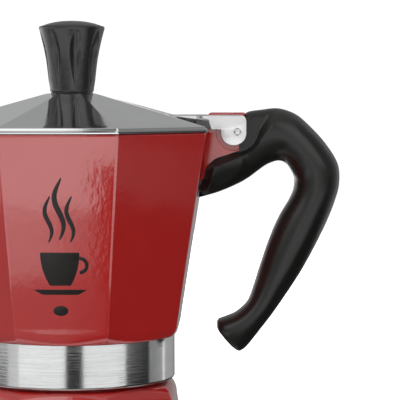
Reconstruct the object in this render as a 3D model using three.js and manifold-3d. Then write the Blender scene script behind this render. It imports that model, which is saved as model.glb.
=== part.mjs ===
// Stove-top moka pot: an octagonal boiler with a safety valve, a coffee funnel, a seal with its
// filter plate, and a screw-on collector with its column, hinged lid, knob and handle.
// Millimetres, +Z up. The origin is the centre of the base, +X is the handle side and -X the spout.
// Facets of the octagons face 0, 45, 90 ... degrees, so their corners lie at 22.5, 67.5 ... degrees.
import * as THREE from 'three';
import { mergeVertices } from 'three/addons/utils/BufferGeometryUtils.js';
import { ConvexGeometry } from 'three/addons/geometries/ConvexGeometry.js';
import Module from 'manifold-3d';

const wasm = await Module();
wasm.setup();

// ---- Driving dimensions -------------------------------------------------------------------------
const GAP = 0.3; // between two pieces that touch

const BASE_CORNER = 55.3; // corner radius of the boiler's octagon at the base
const SHOULDER_CORNER = 45.05; // and at its shoulder
const SHOULDER_Z = 63.9;
const BOILER_WALL = 2.8;

const NECK_RADIUS = 37.2; // root of the boiler's thread
const NECK_BORE = 34.2;
const NECK_FOOT_Z = 68.9;
const NECK_TOP_Z = 82;

const THREAD_PITCH = 4;
const THREAD_DEPTH = 1.4;
const THREAD_CLEARANCE = 0.5;
const THREAD_STEPS = 24; // per turn

const COLLAR_RADIUS = 41.96; // turned band that houses the seal
const COLLAR_BOTTOM_Z = 70;
const COLLAR_TOP_Z = 87.9;
const COLLAR_CHAMFER = 1.3;

const GASKET_RADIUS = 36.5; // 73 mm seal
const GASKET_BORE = 28.5;
const GASKET_TOP_Z = 87.3;
const PLATE_RADIUS = 30.2;
const PLATE_THICKNESS = 0.8;

const BODY_LOW_CORNER = 47.38; // collector octagon where it leaves the rounded underside
const BODY_LOW_Z = 93.27;
const RIM_CORNER = 60.23; // and at the rim
const RIM_Z = 170.7;
const BODY_WALL = 2.4;
const FLOOR_Z = 94.4;
const SEAT_ROOF_Z = 89.4; // underside of that floor, above the filter plate

const LID_CORNER = 60.66;
const LID_EDGE_Z = 172.83; // upper edge of the lid's upright rim
const LID_SLOPE = 0.267; // rise of the pyramid along its corner ridges
const LID_TOP_Z = 185.8;
const LID_WALL = 1.8;

const PIN_X = 67.7; // hinge pin, parallel to Y
const PIN_Z = 170.7;
const PIN_RADIUS = 1.3;
const LUG_HALF = 5.3; // half widths across the hinge
const EAR_INSIDE = 5.65;
const EAR_OUTSIDE = 7.6;
const HINGE_TOP_Z = 177.5;
const LUG_REACH = 14.2; // about the pin; the lug stays inside it and the lid's bridge outside

const KNOB_BOTTOM_Z = 186.7;
const KNOB_TOP_Z = 215.7;
const KNOB_FLUTES = 8;

const SCREW_RADIUS = 2; // knob screw
const INSERT_RADIUS = 4; // threaded bush in the knob

const HANDLE_PIN_RADIUS = 1.6; // cross pin through the handle and the collector's fin
const HANDLE_PIN_X = 61.5;
const HANDLE_PIN_Z = 154.5;

const COLUMN_FOOT = 6; // radius of the column's foot in the collector's floor

const VALVE_ANGLE = -45; // degrees, the facet that carries the safety valve
const VALVE_Z = 45;

// ---- Geometry helpers ---------------------------------------------------------------------------
const RING_POINTS = 32;
const TURN = 2 * Math.PI;

/** Octagon radius at an angle, as a share of its corner radius. */
function octagonShare(angle) {
  const eighth = TURN / 8;
  const fromFacetCentre = angle - eighth * Math.round(angle / eighth);
  return Math.cos(eighth / 2) / Math.cos(fromFacetCentre);
}

/** Horizontal ring of points; round runs from 0, an octagon, to 1, a circle of the same radius. */
function ring(radius, z, round = 0) {
  return Array.from({ length: RING_POINTS }, (_, i) => {
    const angle = (TURN * i) / RING_POINTS;
    const r = radius * (round + (1 - round) * octagonShare(angle));
    return new THREE.Vector3(r * Math.cos(angle), r * Math.sin(angle), z);
  });
}

/** Closed surface through rings that all have the same number of points. */
function loft(rings) {
  const count = rings[0].length;
  const points = rings.flat();
  const index = [];
  for (let r = 0; r + 1 < rings.length; r++) {
    for (let i = 0; i < count; i++) {
      const a = r * count + i;
      const b = r * count + ((i + 1) % count);
      index.push(a, b, b + count, a, b + count, a + count);
    }
  }
  [rings[0], rings.at(-1)].forEach((end, side) => {
    const middle = points.length;
    const first = side === 0 ? 0 : (rings.length - 1) * count;
    points.push(end.reduce((sum, p) => sum.add(p), new THREE.Vector3()).divideScalar(count));
    for (let i = 0; i < count; i++) {
      const a = first + i;
      const b = first + ((i + 1) % count);
      index.push(...(side === 0 ? [middle, b, a] : [middle, a, b]));
    }
  });
  const geometry = new THREE.BufferGeometry().setFromPoints(points);
  geometry.setIndex(index);
  return geometry;
}

/** Solid of revolution about Z from [radius, z] pairs. */
function turned(profile, segments = RING_POINTS) {
  const points = profile.map(([r, z]) => new THREE.Vector2(r, z));
  return new THREE.LatheGeometry(points, segments).rotateX(Math.PI / 2);
}

/** Plain round bar along Z. */
const bar = (radius, z0, z1, segments = 24) =>
  turned([[0, z0], [radius, z0], [radius, z1], [0, z1]], segments);

/** Side outline in X and Z, given as a THREE.Shape, made into a plate from y0 to y1. */
function plate(shape, y0, y1, curveSegments = 12) {
  const options = { depth: y1 - y0, bevelEnabled: false, curveSegments };
  const geometry = new THREE.ExtrudeGeometry(shape, options);
  return geometry.rotateX(Math.PI / 2).translate(0, y1, 0);
}

/** Shape from [x, z] pairs. */
const outline = (pairs) => new THREE.Shape(pairs.map(([x, z]) => new THREE.Vector2(x, z)));

/** Round bar along Y through a point of the side view. */
function crossBar(radius, x, z, y0, y1, segments = 24) {
  const circle = new THREE.Shape().absarc(0, 0, radius, 0, TURN);
  return plate(circle, y0, y1, segments / 2).translate(x, 0, z);
}

/** Box from its lowest and highest corners. */
function block(low, high) {
  const size = high.map((value, i) => value - low[i]);
  const centre = high.map((value, i) => (value + low[i]) / 2);
  return new THREE.BoxGeometry(...size).translate(...centre);
}

// ---- Booleans -----------------------------------------------------------------------------------
/** Manifold solid from a closed geometry, turned so that its faces point out. */
function solid(geometry) {
  const bare = new THREE.BufferGeometry();
  bare.setAttribute('position', geometry.getAttribute('position'));
  bare.setIndex(geometry.getIndex());
  const merged = mergeVertices(bare, 1e-4);
  const position = merged.getAttribute('position').array;
  const triangles = [];
  let volume = 0;
  const corner = (i) => new THREE.Vector3().fromArray(position, 3 * i);
  const index = merged.getIndex().array;
  for (let t = 0; t < index.length; t += 3) {
    const [a, b, c] = index.slice(t, t + 3);
    if (a === b || b === c || c === a) continue;
    triangles.push([a, b, c]);
    volume += corner(a).dot(corner(b).cross(corner(c)));
  }
  const order = volume < 0 ? ([a, b, c]) => [a, c, b] : (triangle) => triangle;
  const triVerts = Uint32Array.from(triangles.flatMap(order));
  const vertProperties = Float32Array.from(position);
  return new wasm.Manifold(new wasm.Mesh({ numProp: 3, vertProperties, triVerts }));
}

/** Geometry of base joined with more, less cuts; every argument is a geometry or a solid. */
function carve(base, { join = [], cut = [] }) {
  const asSolid = (shape) => (shape instanceof THREE.BufferGeometry ? solid(shape) : shape);
  let result = asSolid(base);
  for (const shape of join) result = result.add(asSolid(shape));
  for (const shape of cut) result = result.subtract(asSolid(shape));
  return result;
}

/** BufferGeometry of a Manifold solid. */
function geometryOf(manifold) {
  const mesh = manifold.getMesh();
  const geometry = new THREE.BufferGeometry();
  geometry.setAttribute('position', new THREE.BufferAttribute(mesh.vertProperties, 3));
  geometry.setIndex(new THREE.BufferAttribute(mesh.triVerts, 1));
  return geometry;
}

/** Trapezium-shaped ridge along the thread's helix, or with clearance the groove that takes it. */
function threadHelix(z0, z1, clearance) {
  const root = NECK_RADIUS - 0.6 + clearance;
  const crest = NECK_RADIUS + THREAD_DEPTH + clearance;
  const halfRoot = 1.25 + 0.75 * clearance;
  const halfCrest = 0.5 + 0.75 * clearance;
  const section = [[root, -halfRoot], [crest, -halfCrest], [crest, halfCrest], [root, halfRoot]];
  const steps = Math.ceil(((z1 - z0) / THREAD_PITCH) * THREAD_STEPS);
  const rings = Array.from({ length: steps + 1 }, (_, i) => {
    const z = z0 + ((z1 - z0) * i) / steps;
    const angle = (TURN * z) / THREAD_PITCH;
    return section.map(([r, dz]) =>
      new THREE.Vector3(r * Math.cos(angle), r * Math.sin(angle), z + dz));
  });
  return loft(rings);
}

// ---- Valve frame: local +Z is the facet's outward normal, local origin on the facet ---------------
const apothem = (corner) => corner * Math.cos(TURN / 16);
const boilerCornerAt = (z) => BASE_CORNER + ((SHOULDER_CORNER - BASE_CORNER) * z) / SHOULDER_Z;
const facetLean = Math.atan((apothem(BASE_CORNER) - apothem(SHOULDER_CORNER)) / SHOULDER_Z);

function valveMatrix() {
  const azimuth = THREE.MathUtils.degToRad(VALVE_ANGLE);
  const level = new THREE.Vector3(Math.cos(azimuth), Math.sin(azimuth), 0);
  const outward = level.clone().multiplyScalar(Math.cos(facetLean));
  outward.z = Math.sin(facetLean);
  const turn = new THREE.Quaternion().setFromUnitVectors(new THREE.Vector3(0, 0, 1), outward);
  const place = level.multiplyScalar(apothem(boilerCornerAt(VALVE_Z)));
  place.z = VALVE_Z;
  return new THREE.Matrix4().compose(place, turn, new THREE.Vector3(1, 1, 1));
}

// ---- Boiler and what it holds -------------------------------------------------------------------
const SHANK_RADIUS = 5;

function boiler() {
  const edge = 1.4; // rounding of the base and shoulder edges
  const outside = loft([
    ring(BASE_CORNER - edge, 0),
    ring(BASE_CORNER - 0.1, edge),
    ring(SHOULDER_CORNER + 0.3, SHOULDER_Z - 1.6),
    ring(SHOULDER_CORNER - 0.8, SHOULDER_Z + 0.4, 0.1),
    ring(SHOULDER_CORNER - 3.6, SHOULDER_Z + 2.4, 0.5),
    ring(NECK_RADIUS + 1.5, NECK_FOOT_Z - 0.4, 1),
    ring(NECK_RADIUS, NECK_FOOT_Z, 1),
    ring(NECK_RADIUS, NECK_TOP_Z, 1),
  ]);
  const wall = BOILER_WALL / Math.cos(TURN / 16);
  const inside = loft([
    ring(BASE_CORNER - wall - 3, BOILER_WALL),
    ring(BASE_CORNER - wall - 0.6, BOILER_WALL + 3),
    ring(SHOULDER_CORNER - wall - 0.2, SHOULDER_Z - 6),
    ring(NECK_BORE + 2, SHOULDER_Z - 1.5, 0.8),
    ring(NECK_BORE, NECK_FOOT_Z - 2, 1),
    ring(NECK_BORE, NECK_TOP_Z + 1, 1),
  ]);
  const valveHole = bar(SHANK_RADIUS + GAP, -12, 4).applyMatrix4(valveMatrix());
  const thread = threadHelix(NECK_FOOT_Z + 3.2, NECK_TOP_Z - 1.8, 0);
  return carve(outside, { join: [thread], cut: [inside, valveHole] });
}

const STEM_RADIUS = 5;
const STEM_BORE = 4.1;

/** Cup with a flange that rests on the boiler's neck and a ledge for the screen. */
function funnel() {
  const flangeZ = NECK_TOP_Z + GAP;
  const hole = STEM_RADIUS + GAP;
  return turned([
    [GASKET_RADIUS - 0.7, flangeZ],
    [GASKET_RADIUS - 0.7, flangeZ + 1],
    [32.6, flangeZ + 1],
    [32.2, flangeZ + 0.6],
    [32.2, 63.2],
    [30.6, 63.2],
    [30.6, 61.2],
    [hole, 56.2],
    [hole, 51],
    [hole + 0.9, 51],
    [hole + 0.9, 54.9],
    [31.7, 60.2],
    [33.3, 62.4],
    [33.3, flangeZ],
    [GASKET_RADIUS - 0.7, flangeZ],
  ]);
}

/** Tube that hangs in the funnel's bottom and reaches down into the water. */
const funnelStem = () => turned([
  [STEM_BORE, 8], [STEM_RADIUS, 8], [STEM_RADIUS, 56.9], [7, 56.9], [7, 57.6],
  [STEM_BORE, 57.6], [STEM_BORE, 8],
], 24);

/** Thin disc with rings of round holes. */
function perforatedDisc(radius, z, thickness, holeRings, holeRadius) {
  const holes = [];
  for (let r = 0; r <= holeRings; r++) {
    const count = r === 0 ? 1 : 6 * r;
    const distance = (r * (radius - 4.5)) / holeRings;
    for (let i = 0; i < count; i++) {
      const angle = (TURN * (i + 0.5 * (r % 2))) / count;
      const hole = bar(holeRadius, z - 1, z + thickness + 1, 6);
      holes.push(hole.translate(distance * Math.cos(angle), distance * Math.sin(angle), 0));
    }
  }
  return carve(bar(radius, z, z + thickness, RING_POINTS), { cut: holes });
}

const funnelScreen = () => perforatedDisc(31.9, 63.2 + GAP, 0.8, 3, 1.1);

// ---- Safety valve, in its own frame --------------------------------------------------------------
const VALVE_BORE = 3.4;
const VALVE_HEAD_Z = 8; // outer face of the hexagon

function valveBody() {
  const head = bar(8.1, 1.3 + GAP, VALVE_HEAD_Z, 6);
  const shank = bar(SHANK_RADIUS, -6.5, 4);
  const bore = bar(VALVE_BORE, -4.5, VALVE_HEAD_Z + 1);
  const inlet = bar(1.6, -8, 0);
  return carve(head, { join: [shank], cut: [bore, inlet] });
}

const valveWasher = () => turned([
  [SHANK_RADIUS + GAP, GAP], [8, GAP], [8, 1.3], [SHANK_RADIUS + GAP, 1.3],
  [SHANK_RADIUS + GAP, GAP],
], 32);

const valvePlunger = () => turned([
  [0, -4.5 + GAP], [2.4, -4.5 + GAP], [3, -3.6], [3, -2.2], [1.1, -2.2],
  [1.1, 10], [0.6, 10.5], [0, 10.5],
], 24);

const valveCap = () => turned([
  [1.5, 6.6], [VALVE_BORE - GAP, 6.6], [VALVE_BORE - GAP, VALVE_HEAD_Z + GAP],
  [5, VALVE_HEAD_Z + GAP], [5, 9], [4.4, 9.6], [1.5, 9.6], [1.5, 6.6],
], 24);

/** Helical spring between the plunger's head and the cap. */
function valveSpring() {
  const wire = 0.3;
  const coil = 2.2;
  const turns = 4;
  const z0 = -2.2 + GAP + wire;
  const z1 = 6.6 - GAP - wire;
  const steps = turns * 10;
  const rings = Array.from({ length: steps + 1 }, (_, i) => {
    const angle = (TURN * turns * i) / steps;
    const z = z0 + ((z1 - z0) * i) / steps;
    return Array.from({ length: 5 }, (_unused, k) => {
      const around = (TURN * k) / 5;
      const r = coil + wire * Math.cos(around);
      return new THREE.Vector3(r * Math.cos(angle), r * Math.sin(angle), z + wire * Math.sin(around));
    });
  });
  return loft(rings);
}

// ---- Seal ---------------------------------------------------------------------------------------
const gasket = () => turned([
  [GASKET_BORE, NECK_TOP_Z + 1 + 2 * GAP],
  [GASKET_RADIUS, NECK_TOP_Z + 1 + 2 * GAP],
  [GASKET_RADIUS, GASKET_TOP_Z],
  [GASKET_BORE, GASKET_TOP_Z],
  [GASKET_BORE, NECK_TOP_Z + 1 + 2 * GAP],
]);

const filterPlate = () => perforatedDisc(PLATE_RADIUS, GASKET_TOP_Z + GAP, PLATE_THICKNESS, 3, 1);

// ---- Collector ----------------------------------------------------------------------------------
const bodyCornerAt = (z) =>
  BODY_LOW_CORNER + ((RIM_CORNER - BODY_LOW_CORNER) * (z - BODY_LOW_Z)) / (RIM_Z - BODY_LOW_Z);

/** Side outline of the block that carries the hinge, above the handle's arm. */
const LUG = [
  [50, 157], [56.4, 157.2], [59, 159.6], [68.5, 162.6], [70.8, 178.3], [56.4, 178.3],
  [55.2, 176.6], [54.5, RIM_Z - 0.9], [50, RIM_Z - 1.5],
];
/** Side outline of the fin below it that the handle slides over. */
const FIN = [[48, 147.5], [60, 149.6], [66.5, 154], [66.5, 161], [50, 160]];
const FIN_HALF = 2.4;

/** Beak of the spout, a wedge that widens towards the rim; wall draws it in for the cavity. */
function spoutWedge(wall, topZ) {
  const low = 118 + 5 * wall;
  const nose = -72.5 + 1.6 * wall;
  const half = 18 - 1.5 * wall;
  const tip = 2.4 - 0.8 * wall;
  const inner = -apothem(bodyCornerAt(low)) + 4;
  const points = [[inner, 0, low - 3], [inner - 4.5, 0, low]];
  for (const side of [-1, 1]) {
    points.push([-46, side * half, RIM_Z - 12], [-46, side * half, topZ]);
    points.push([nose + 1.4, side * tip, topZ], [nose, (side * tip) / 3, topZ]);
    points.push([-60, side * (half - 9), 146 + 3 * wall]);
  }
  return new ConvexGeometry(points.map((p) => new THREE.Vector3(...p)));
}

function collector() {
  const outside = loft([
    ring(COLLAR_RADIUS - COLLAR_CHAMFER, COLLAR_BOTTOM_Z, 1),
    ring(COLLAR_RADIUS, COLLAR_BOTTOM_Z + COLLAR_CHAMFER, 1),
    ring(COLLAR_RADIUS, COLLAR_TOP_Z, 1),
    ring(COLLAR_RADIUS + 0.6, COLLAR_TOP_Z + 0.2, 1),
    ring(COLLAR_RADIUS + 3, COLLAR_TOP_Z + 1.9, 0.6),
    ring(BODY_LOW_CORNER - 0.9, COLLAR_TOP_Z + 3.6, 0.2),
    ring(BODY_LOW_CORNER, BODY_LOW_Z),
    ring(RIM_CORNER, RIM_Z),
  ]);
  const wall = BODY_WALL / Math.cos(TURN / 16);
  const inside = loft([
    ring(bodyCornerAt(FLOOR_Z) - wall - 4, FLOOR_Z, 0.4),
    ring(bodyCornerAt(FLOOR_Z) - wall - 1.2, FLOOR_Z + 1.4),
    ring(bodyCornerAt(FLOOR_Z + 5) - wall, FLOOR_Z + 5),
    ring(bodyCornerAt(RIM_Z + 2) - wall, RIM_Z + 2),
  ]);
  const seat = turned([
    [0, COLLAR_BOTTOM_Z - 1],
    [NECK_RADIUS + THREAD_CLEARANCE, COLLAR_BOTTOM_Z - 1],
    [NECK_RADIUS + THREAD_CLEARANCE, NECK_TOP_Z + 1.2],
    [GASKET_RADIUS + GAP, NECK_TOP_Z + 1.2],
    [GASKET_RADIUS + GAP, GASKET_TOP_Z + GAP],
    [PLATE_RADIUS + GAP, GASKET_TOP_Z + GAP],
    [PLATE_RADIUS + GAP, SEAT_ROOF_Z],
    [0, SEAT_ROOF_Z],
  ]);
  const lug = plate(outline(LUG), -LUG_HALF, LUG_HALF);
  const fin = plate(outline(FIN), -FIN_HALF, FIN_HALF);
  const groove = threadHelix(COLLAR_BOTTOM_Z - 4, NECK_TOP_Z - 0.9, THREAD_CLEARANCE);
  const columnHole = bar(COLUMN_FOOT + GAP, 85, 100, 32);
  const pinHole = crossBar(PIN_RADIUS + 0.12, PIN_X, PIN_Z, -10, 10);
  const finHole = crossBar(HANDLE_PIN_RADIUS + 0.2, HANDLE_PIN_X, HANDLE_PIN_Z, -10, 10);
  const cavity = spoutWedge(1.8, RIM_Z + 2);
  return carve(outside, {
    join: [lug, fin, spoutWedge(0, RIM_Z)],
    cut: [inside, cavity, seat, groove, columnHole, pinHole, finHole],
  });
}

/** Tapered column with a closed crown and two side outlets. */
function column() {
  const top = 150;
  const shell = turned([
    [3.4, SEAT_ROOF_Z + GAP], [COLUMN_FOOT, SEAT_ROOF_Z + GAP], [COLUMN_FOOT, FLOOR_Z + GAP],
    [10.5, FLOOR_Z + GAP], [10, 97], [8.6, 110], [6.4, 141], [6.4, 146.5], [5.2, 149.3],
    [2.5, top], [0, top], [0, 147.4], [3.4, 145.8], [3.4, SEAT_ROOF_Z + GAP],
  ], 32);
  const outlet = crossBar(1.9, 0, 143.6, -12, 12, 16);
  return carve(shell, { cut: [outlet] });
}

// ---- Lid, knob and hinge ------------------------------------------------------------------------
const lidCornerAt = (z) => LID_CORNER - (z - LID_EDGE_Z) / LID_SLOPE;

/** Side outline of one ear: an arm that steps down to a round lobe about the pin. */
function earShape() {
  const lobeX = 66.25;
  const lobeZ = 170.3;
  const lobe = 5.25;
  const shape = new THREE.Shape();
  shape.moveTo(lobeX - lobe, 171.5);
  shape.lineTo(57.1, 171.5);
  shape.lineTo(55.8, HINGE_TOP_Z - 1.2);
  shape.quadraticCurveTo(55.5, HINGE_TOP_Z, 56.8, HINGE_TOP_Z);
  shape.lineTo(68.9, HINGE_TOP_Z);
  shape.quadraticCurveTo(71.2, HINGE_TOP_Z, 71.35, 174.8);
  shape.lineTo(lobeX + lobe, lobeZ);
  shape.absarc(lobeX, lobeZ, lobe, 0, -Math.PI, true);
  return shape;
}

/** Side outline of the bridge; its end is an arc about the pin, so that it swings past the lug. */
function bridgeShape() {
  const reach = LUG_REACH + GAP;
  const startAngle = Math.PI - Math.asin((HINGE_TOP_Z - PIN_Z) / reach);
  const endAngle = Math.PI - Math.asin((173.2 - PIN_Z) / reach);
  const shape = new THREE.Shape();
  shape.moveTo(36, HINGE_TOP_Z);
  shape.lineTo(PIN_X + reach * Math.cos(startAngle), HINGE_TOP_Z);
  shape.absarc(PIN_X, PIN_Z, reach, startAngle, endAngle, false);
  shape.lineTo(50, 172.9);
  shape.lineTo(36, 175.5);
  return shape;
}

function lid() {
  const rimBottom = RIM_Z + GAP;
  const wall = LID_WALL / Math.cos(TURN / 16);
  const outside = loft([
    ring(LID_CORNER, rimBottom),
    ring(LID_CORNER, LID_EDGE_Z),
    ring(lidCornerAt(LID_TOP_Z), LID_TOP_Z),
  ]);
  const inside = loft([
    ring(LID_CORNER - 6.2, RIM_Z - 5),
    ring(LID_CORNER - 6.2, LID_EDGE_Z - 1.4),
    ring(lidCornerAt(LID_TOP_Z) - wall, LID_TOP_Z - 1.9),
  ]);
  const lip = loft([ring(LID_CORNER - 4, RIM_Z - 1.2), ring(LID_CORNER - 4, RIM_Z + 2)]);
  const bridge = plate(bridgeShape(), -EAR_OUTSIDE + 0.4, EAR_OUTSIDE - 0.4);
  const ears = [-1, 1].flatMap((side) => {
    const [near, far] = [side * EAR_INSIDE, side * EAR_OUTSIDE].sort((a, b) => a - b);
    const root = outline([[50, 173.6], [57.4, 173.6], [57.4, HINGE_TOP_Z], [50, HINGE_TOP_Z]]);
    return [plate(earShape(), near, far), plate(root, near, far)];
  });
  const pinHole = crossBar(PIN_RADIUS + 0.14, PIN_X, PIN_Z, -10, 10);
  const screwHole = bar(SCREW_RADIUS + GAP, 178, 190);
  const lugSweep = crossBar(LUG_REACH, PIN_X, PIN_Z, -EAR_INSIDE, EAR_INSIDE, 64);
  return carve(outside, {
    join: [lip, bridge, ...ears],
    cut: [inside, pinHole, screwHole, lugSweep],
  });
}

const hingePin = () => crossBar(PIN_RADIUS, PIN_X, PIN_Z, -EAR_OUTSIDE - 0.15, EAR_OUTSIDE + 0.15);

/** Fluted grip, widest at its top. */
function lidKnob() {
  const rows = [ // radius and height of the flutes' crests, and how deep the flutes are there
    [8.9, KNOB_BOTTOM_Z, 0], [9.2, 187.6, 0], [9.3, 188.4, 0.08], [9.85, 194, 0.1],
    [10.6, 200, 0.1], [11.7, 205.5, 0.1], [12.7, 209.8, 0.08], [13.3, 212.2, 0.02],
    [13.1, 213.6, 0], [10.8, 214.9, 0], [6.5, 215.6, 0], [1, KNOB_TOP_Z, 0],
  ];
  const points = KNOB_FLUTES * 6;
  const rings = rows.map(([radius, z, depth]) =>
    Array.from({ length: points }, (_, i) => {
      const angle = (TURN * i) / points;
      const groove = ((1 + Math.cos(KNOB_FLUTES * angle)) / 2) ** 2;
      const r = radius * (1 - depth * groove);
      return new THREE.Vector3(r * Math.cos(angle), r * Math.sin(angle), z);
    }));
  const socket = turned([
    [0, 186], [SCREW_RADIUS + GAP, 186], [SCREW_RADIUS + GAP, 188.6],
    [INSERT_RADIUS + GAP, 188.6], [INSERT_RADIUS + GAP, 201], [0, 201],
  ], 24);
  return carve(loft(rings), { cut: [socket] });
}

const knobInsert = () => turned([
  [SCREW_RADIUS + 0.2, 188.6 + GAP], [INSERT_RADIUS, 188.6 + GAP], [INSERT_RADIUS, 200.6],
  [SCREW_RADIUS + 0.2, 200.6], [SCREW_RADIUS + 0.2, 188.6 + GAP],
], 24);

const knobWasher = () => turned([
  [SCREW_RADIUS + GAP, LID_TOP_Z + 0.2], [8.3, LID_TOP_Z + 0.2], [8.3, KNOB_BOTTOM_Z - 0.2],
  [SCREW_RADIUS + GAP, KNOB_BOTTOM_Z - 0.2], [SCREW_RADIUS + GAP, LID_TOP_Z + 0.2],
], 32);

/** Cheese-head screw that comes up through the lid into the knob's insert. */
function knobScrew() {
  const seat = LID_TOP_Z - 1.9 - GAP;
  const body = turned([
    [0, seat - 2.4], [4, seat - 2.4], [4.2, seat - 2.2], [4.2, seat], [SCREW_RADIUS, seat],
    [SCREW_RADIUS, 199.4], [1.2, 200.2], [0, 200.2],
  ], 24);
  return carve(body, { cut: [block([-5, -0.5, seat - 3], [5, 0.5, seat - 1.4])] });
}

// ---- Handle -------------------------------------------------------------------------------------
/** Stations along the grip: outer edge x and z, inner edge x and z, half width. */
const HANDLE = [
  [54.1, 156.4, 52.1, 143.9, 8.4],
  [59.4, 159.3, 59.2, 145.7, 9.2],
  [69.0, 162.2, 68.6, 149.8, 9.8],
  [78.6, 167.2, 76.6, 155.2, 10.1],
  [84.4, 175.6, 80.6, 157.8, 10.3],
  [91.4, 177.7, 84.6, 158.7, 10.4],
  [101.6, 168.0, 88.6, 156.4, 10.5],
  [108.8, 157.0, 90.7, 151.3, 10.5],
  [108.8, 147.8, 90.3, 147.0, 10.3],
  [105.6, 137.6, 87.0, 140.6, 10.0],
  [99.3, 123.9, 81.2, 129.0, 9.7],
  [91.4, 110.2, 77.0, 117.0, 9.6],
  [83.5, 98.0, 73.3, 105.6, 9.7],
  [77.6, 90.4, 67.6, 97.0, 10.0],
  [72.6, 83.9, 60.4, 94.0, 10.2],
  [69.2, 81.2, 59.2, 91.6, 9.2],
];
/** Web behind the lug, narrow enough for the ears to swing past it. */
const WEB = [
  [67, 158], [67, 178.5], [71.1, 178.5], [74.3, 179.6], [78.5, 180.15], [83.5, 180.15], [87.5, 179.3],
  [88, 170], [84, 160],
];

function handle() {
  const edge = (column_) => new THREE.SplineCurve(
    HANDLE.map((row) => new THREE.Vector2(row[column_], row[column_ + 1])));
  const outer = edge(0);
  const inner = edge(2);
  const stations = (HANDLE.length - 1) * 2;
  const around = 20;
  const rings = Array.from({ length: stations + 1 }, (_, i) => {
    const t = i / stations;
    const far = outer.getPoint(t);
    const near = inner.getPoint(t);
    const row = t * (HANDLE.length - 1);
    const low = HANDLE[Math.floor(row)][4];
    const high = HANDLE[Math.ceil(row)][4];
    const half = low + (high - low) * (row % 1);
    const middle = near.clone().add(far).multiplyScalar(0.5);
    const arm = far.clone().sub(near).multiplyScalar(0.5);
    return Array.from({ length: around }, (_unused, k) => {
      const angle = (TURN * k) / around;
      const squarish = (value) => Math.sign(value) * Math.abs(value) ** 0.7;
      const along = squarish(Math.cos(angle));
      const across = squarish(Math.sin(angle)) * half;
      return new THREE.Vector3(middle.x + arm.x * along, across, middle.y + arm.y * along);
    });
  });
  const finSlot = plate(outline([
    [46, 146.8], [60.2, 149.2], [66.9, 153.8], [66.9, 166], [46, 166],
  ]), -FIN_HALF - GAP, FIN_HALF + GAP);
  const seat = LUG_HALF + GAP;
  const lugSeats = [0, 3].map((up) =>
    plate(outline(LUG), -seat, seat).translate(GAP + 0.2 * up, 0, up - GAP));
  const pinBore = crossBar(HANDLE_PIN_RADIUS + 0.2, HANDLE_PIN_X, HANDLE_PIN_Z, -6, 12);
  return carve(loft(rings), {
    join: [plate(outline(WEB), -LUG_HALF, LUG_HALF)],
    cut: [finSlot, ...lugSeats, pinBore],
  });
}

const handlePin = () => crossBar(HANDLE_PIN_RADIUS, HANDLE_PIN_X, HANDLE_PIN_Z, -5.5, 8.2);

// ---- Assembly -----------------------------------------------------------------------------------
const RED = { color: 0x9c1f1c, roughness: 0.25, metalness: 0.1 };
const ALUMINIUM = { color: 0xb9bbbd, roughness: 0.3, metalness: 1 };
const STEEL = { color: 0xd0d0d0, roughness: 0.2, metalness: 1 };
const BRASS = { color: 0xb5924c, roughness: 0.3, metalness: 1 };
const BLACK = { color: 0x151514, roughness: 0.45, metalness: 0 };
const RUBBER = { color: 0xd9d4c6, roughness: 0.7, metalness: 0 };

const pot = new THREE.Group();
const valve = new THREE.Group();
valve.applyMatrix4(valveMatrix());
pot.add(valve);

function addPiece(group, name, shape, material) {
  const geometry = geometryOf(carve(shape, {}));
  const mesh = new THREE.Mesh(geometry, new THREE.MeshStandardMaterial(material));
  mesh.name = name;
  group.add(mesh);
}

addPiece(pot, 'boiler', boiler(), RED);
addPiece(pot, 'funnel', funnel(), ALUMINIUM);
addPiece(pot, 'funnel_stem', funnelStem(), ALUMINIUM);
addPiece(pot, 'funnel_screen', funnelScreen(), ALUMINIUM);
addPiece(valve, 'valve_body', valveBody(), BRASS);
addPiece(valve, 'valve_washer', valveWasher(), RUBBER);
addPiece(valve, 'valve_plunger', valvePlunger(), STEEL);
addPiece(valve, 'valve_spring', valveSpring(), STEEL);
addPiece(valve, 'valve_cap', valveCap(), BRASS);
addPiece(pot, 'gasket', gasket(), RUBBER);
addPiece(pot, 'filter_plate', filterPlate(), ALUMINIUM);
addPiece(pot, 'collector', collector(), RED);
addPiece(pot, 'column', column(), ALUMINIUM);
addPiece(pot, 'lid', lid(), ALUMINIUM);
addPiece(pot, 'lid_knob', lidKnob(), BLACK);
addPiece(pot, 'knob_insert', knobInsert(), BRASS);
addPiece(pot, 'knob_screw', knobScrew(), STEEL);
addPiece(pot, 'knob_washer', knobWasher(), RUBBER);
addPiece(pot, 'hinge_pin', hingePin(), STEEL);
addPiece(pot, 'handle', handle(), BLACK);
addPiece(pot, 'handle_pin', handlePin(), STEEL);

export default pot;
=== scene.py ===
"""Looks of the moka pot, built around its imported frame. Sizes are in millimetres until mesh() turns
them into metres; +Z is up, +X is the handle side, -X the spout, and the origin is the base's centre."""
import math

import bmesh
import bpy
import numpy as np
from mathutils import Matrix, Vector

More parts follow.
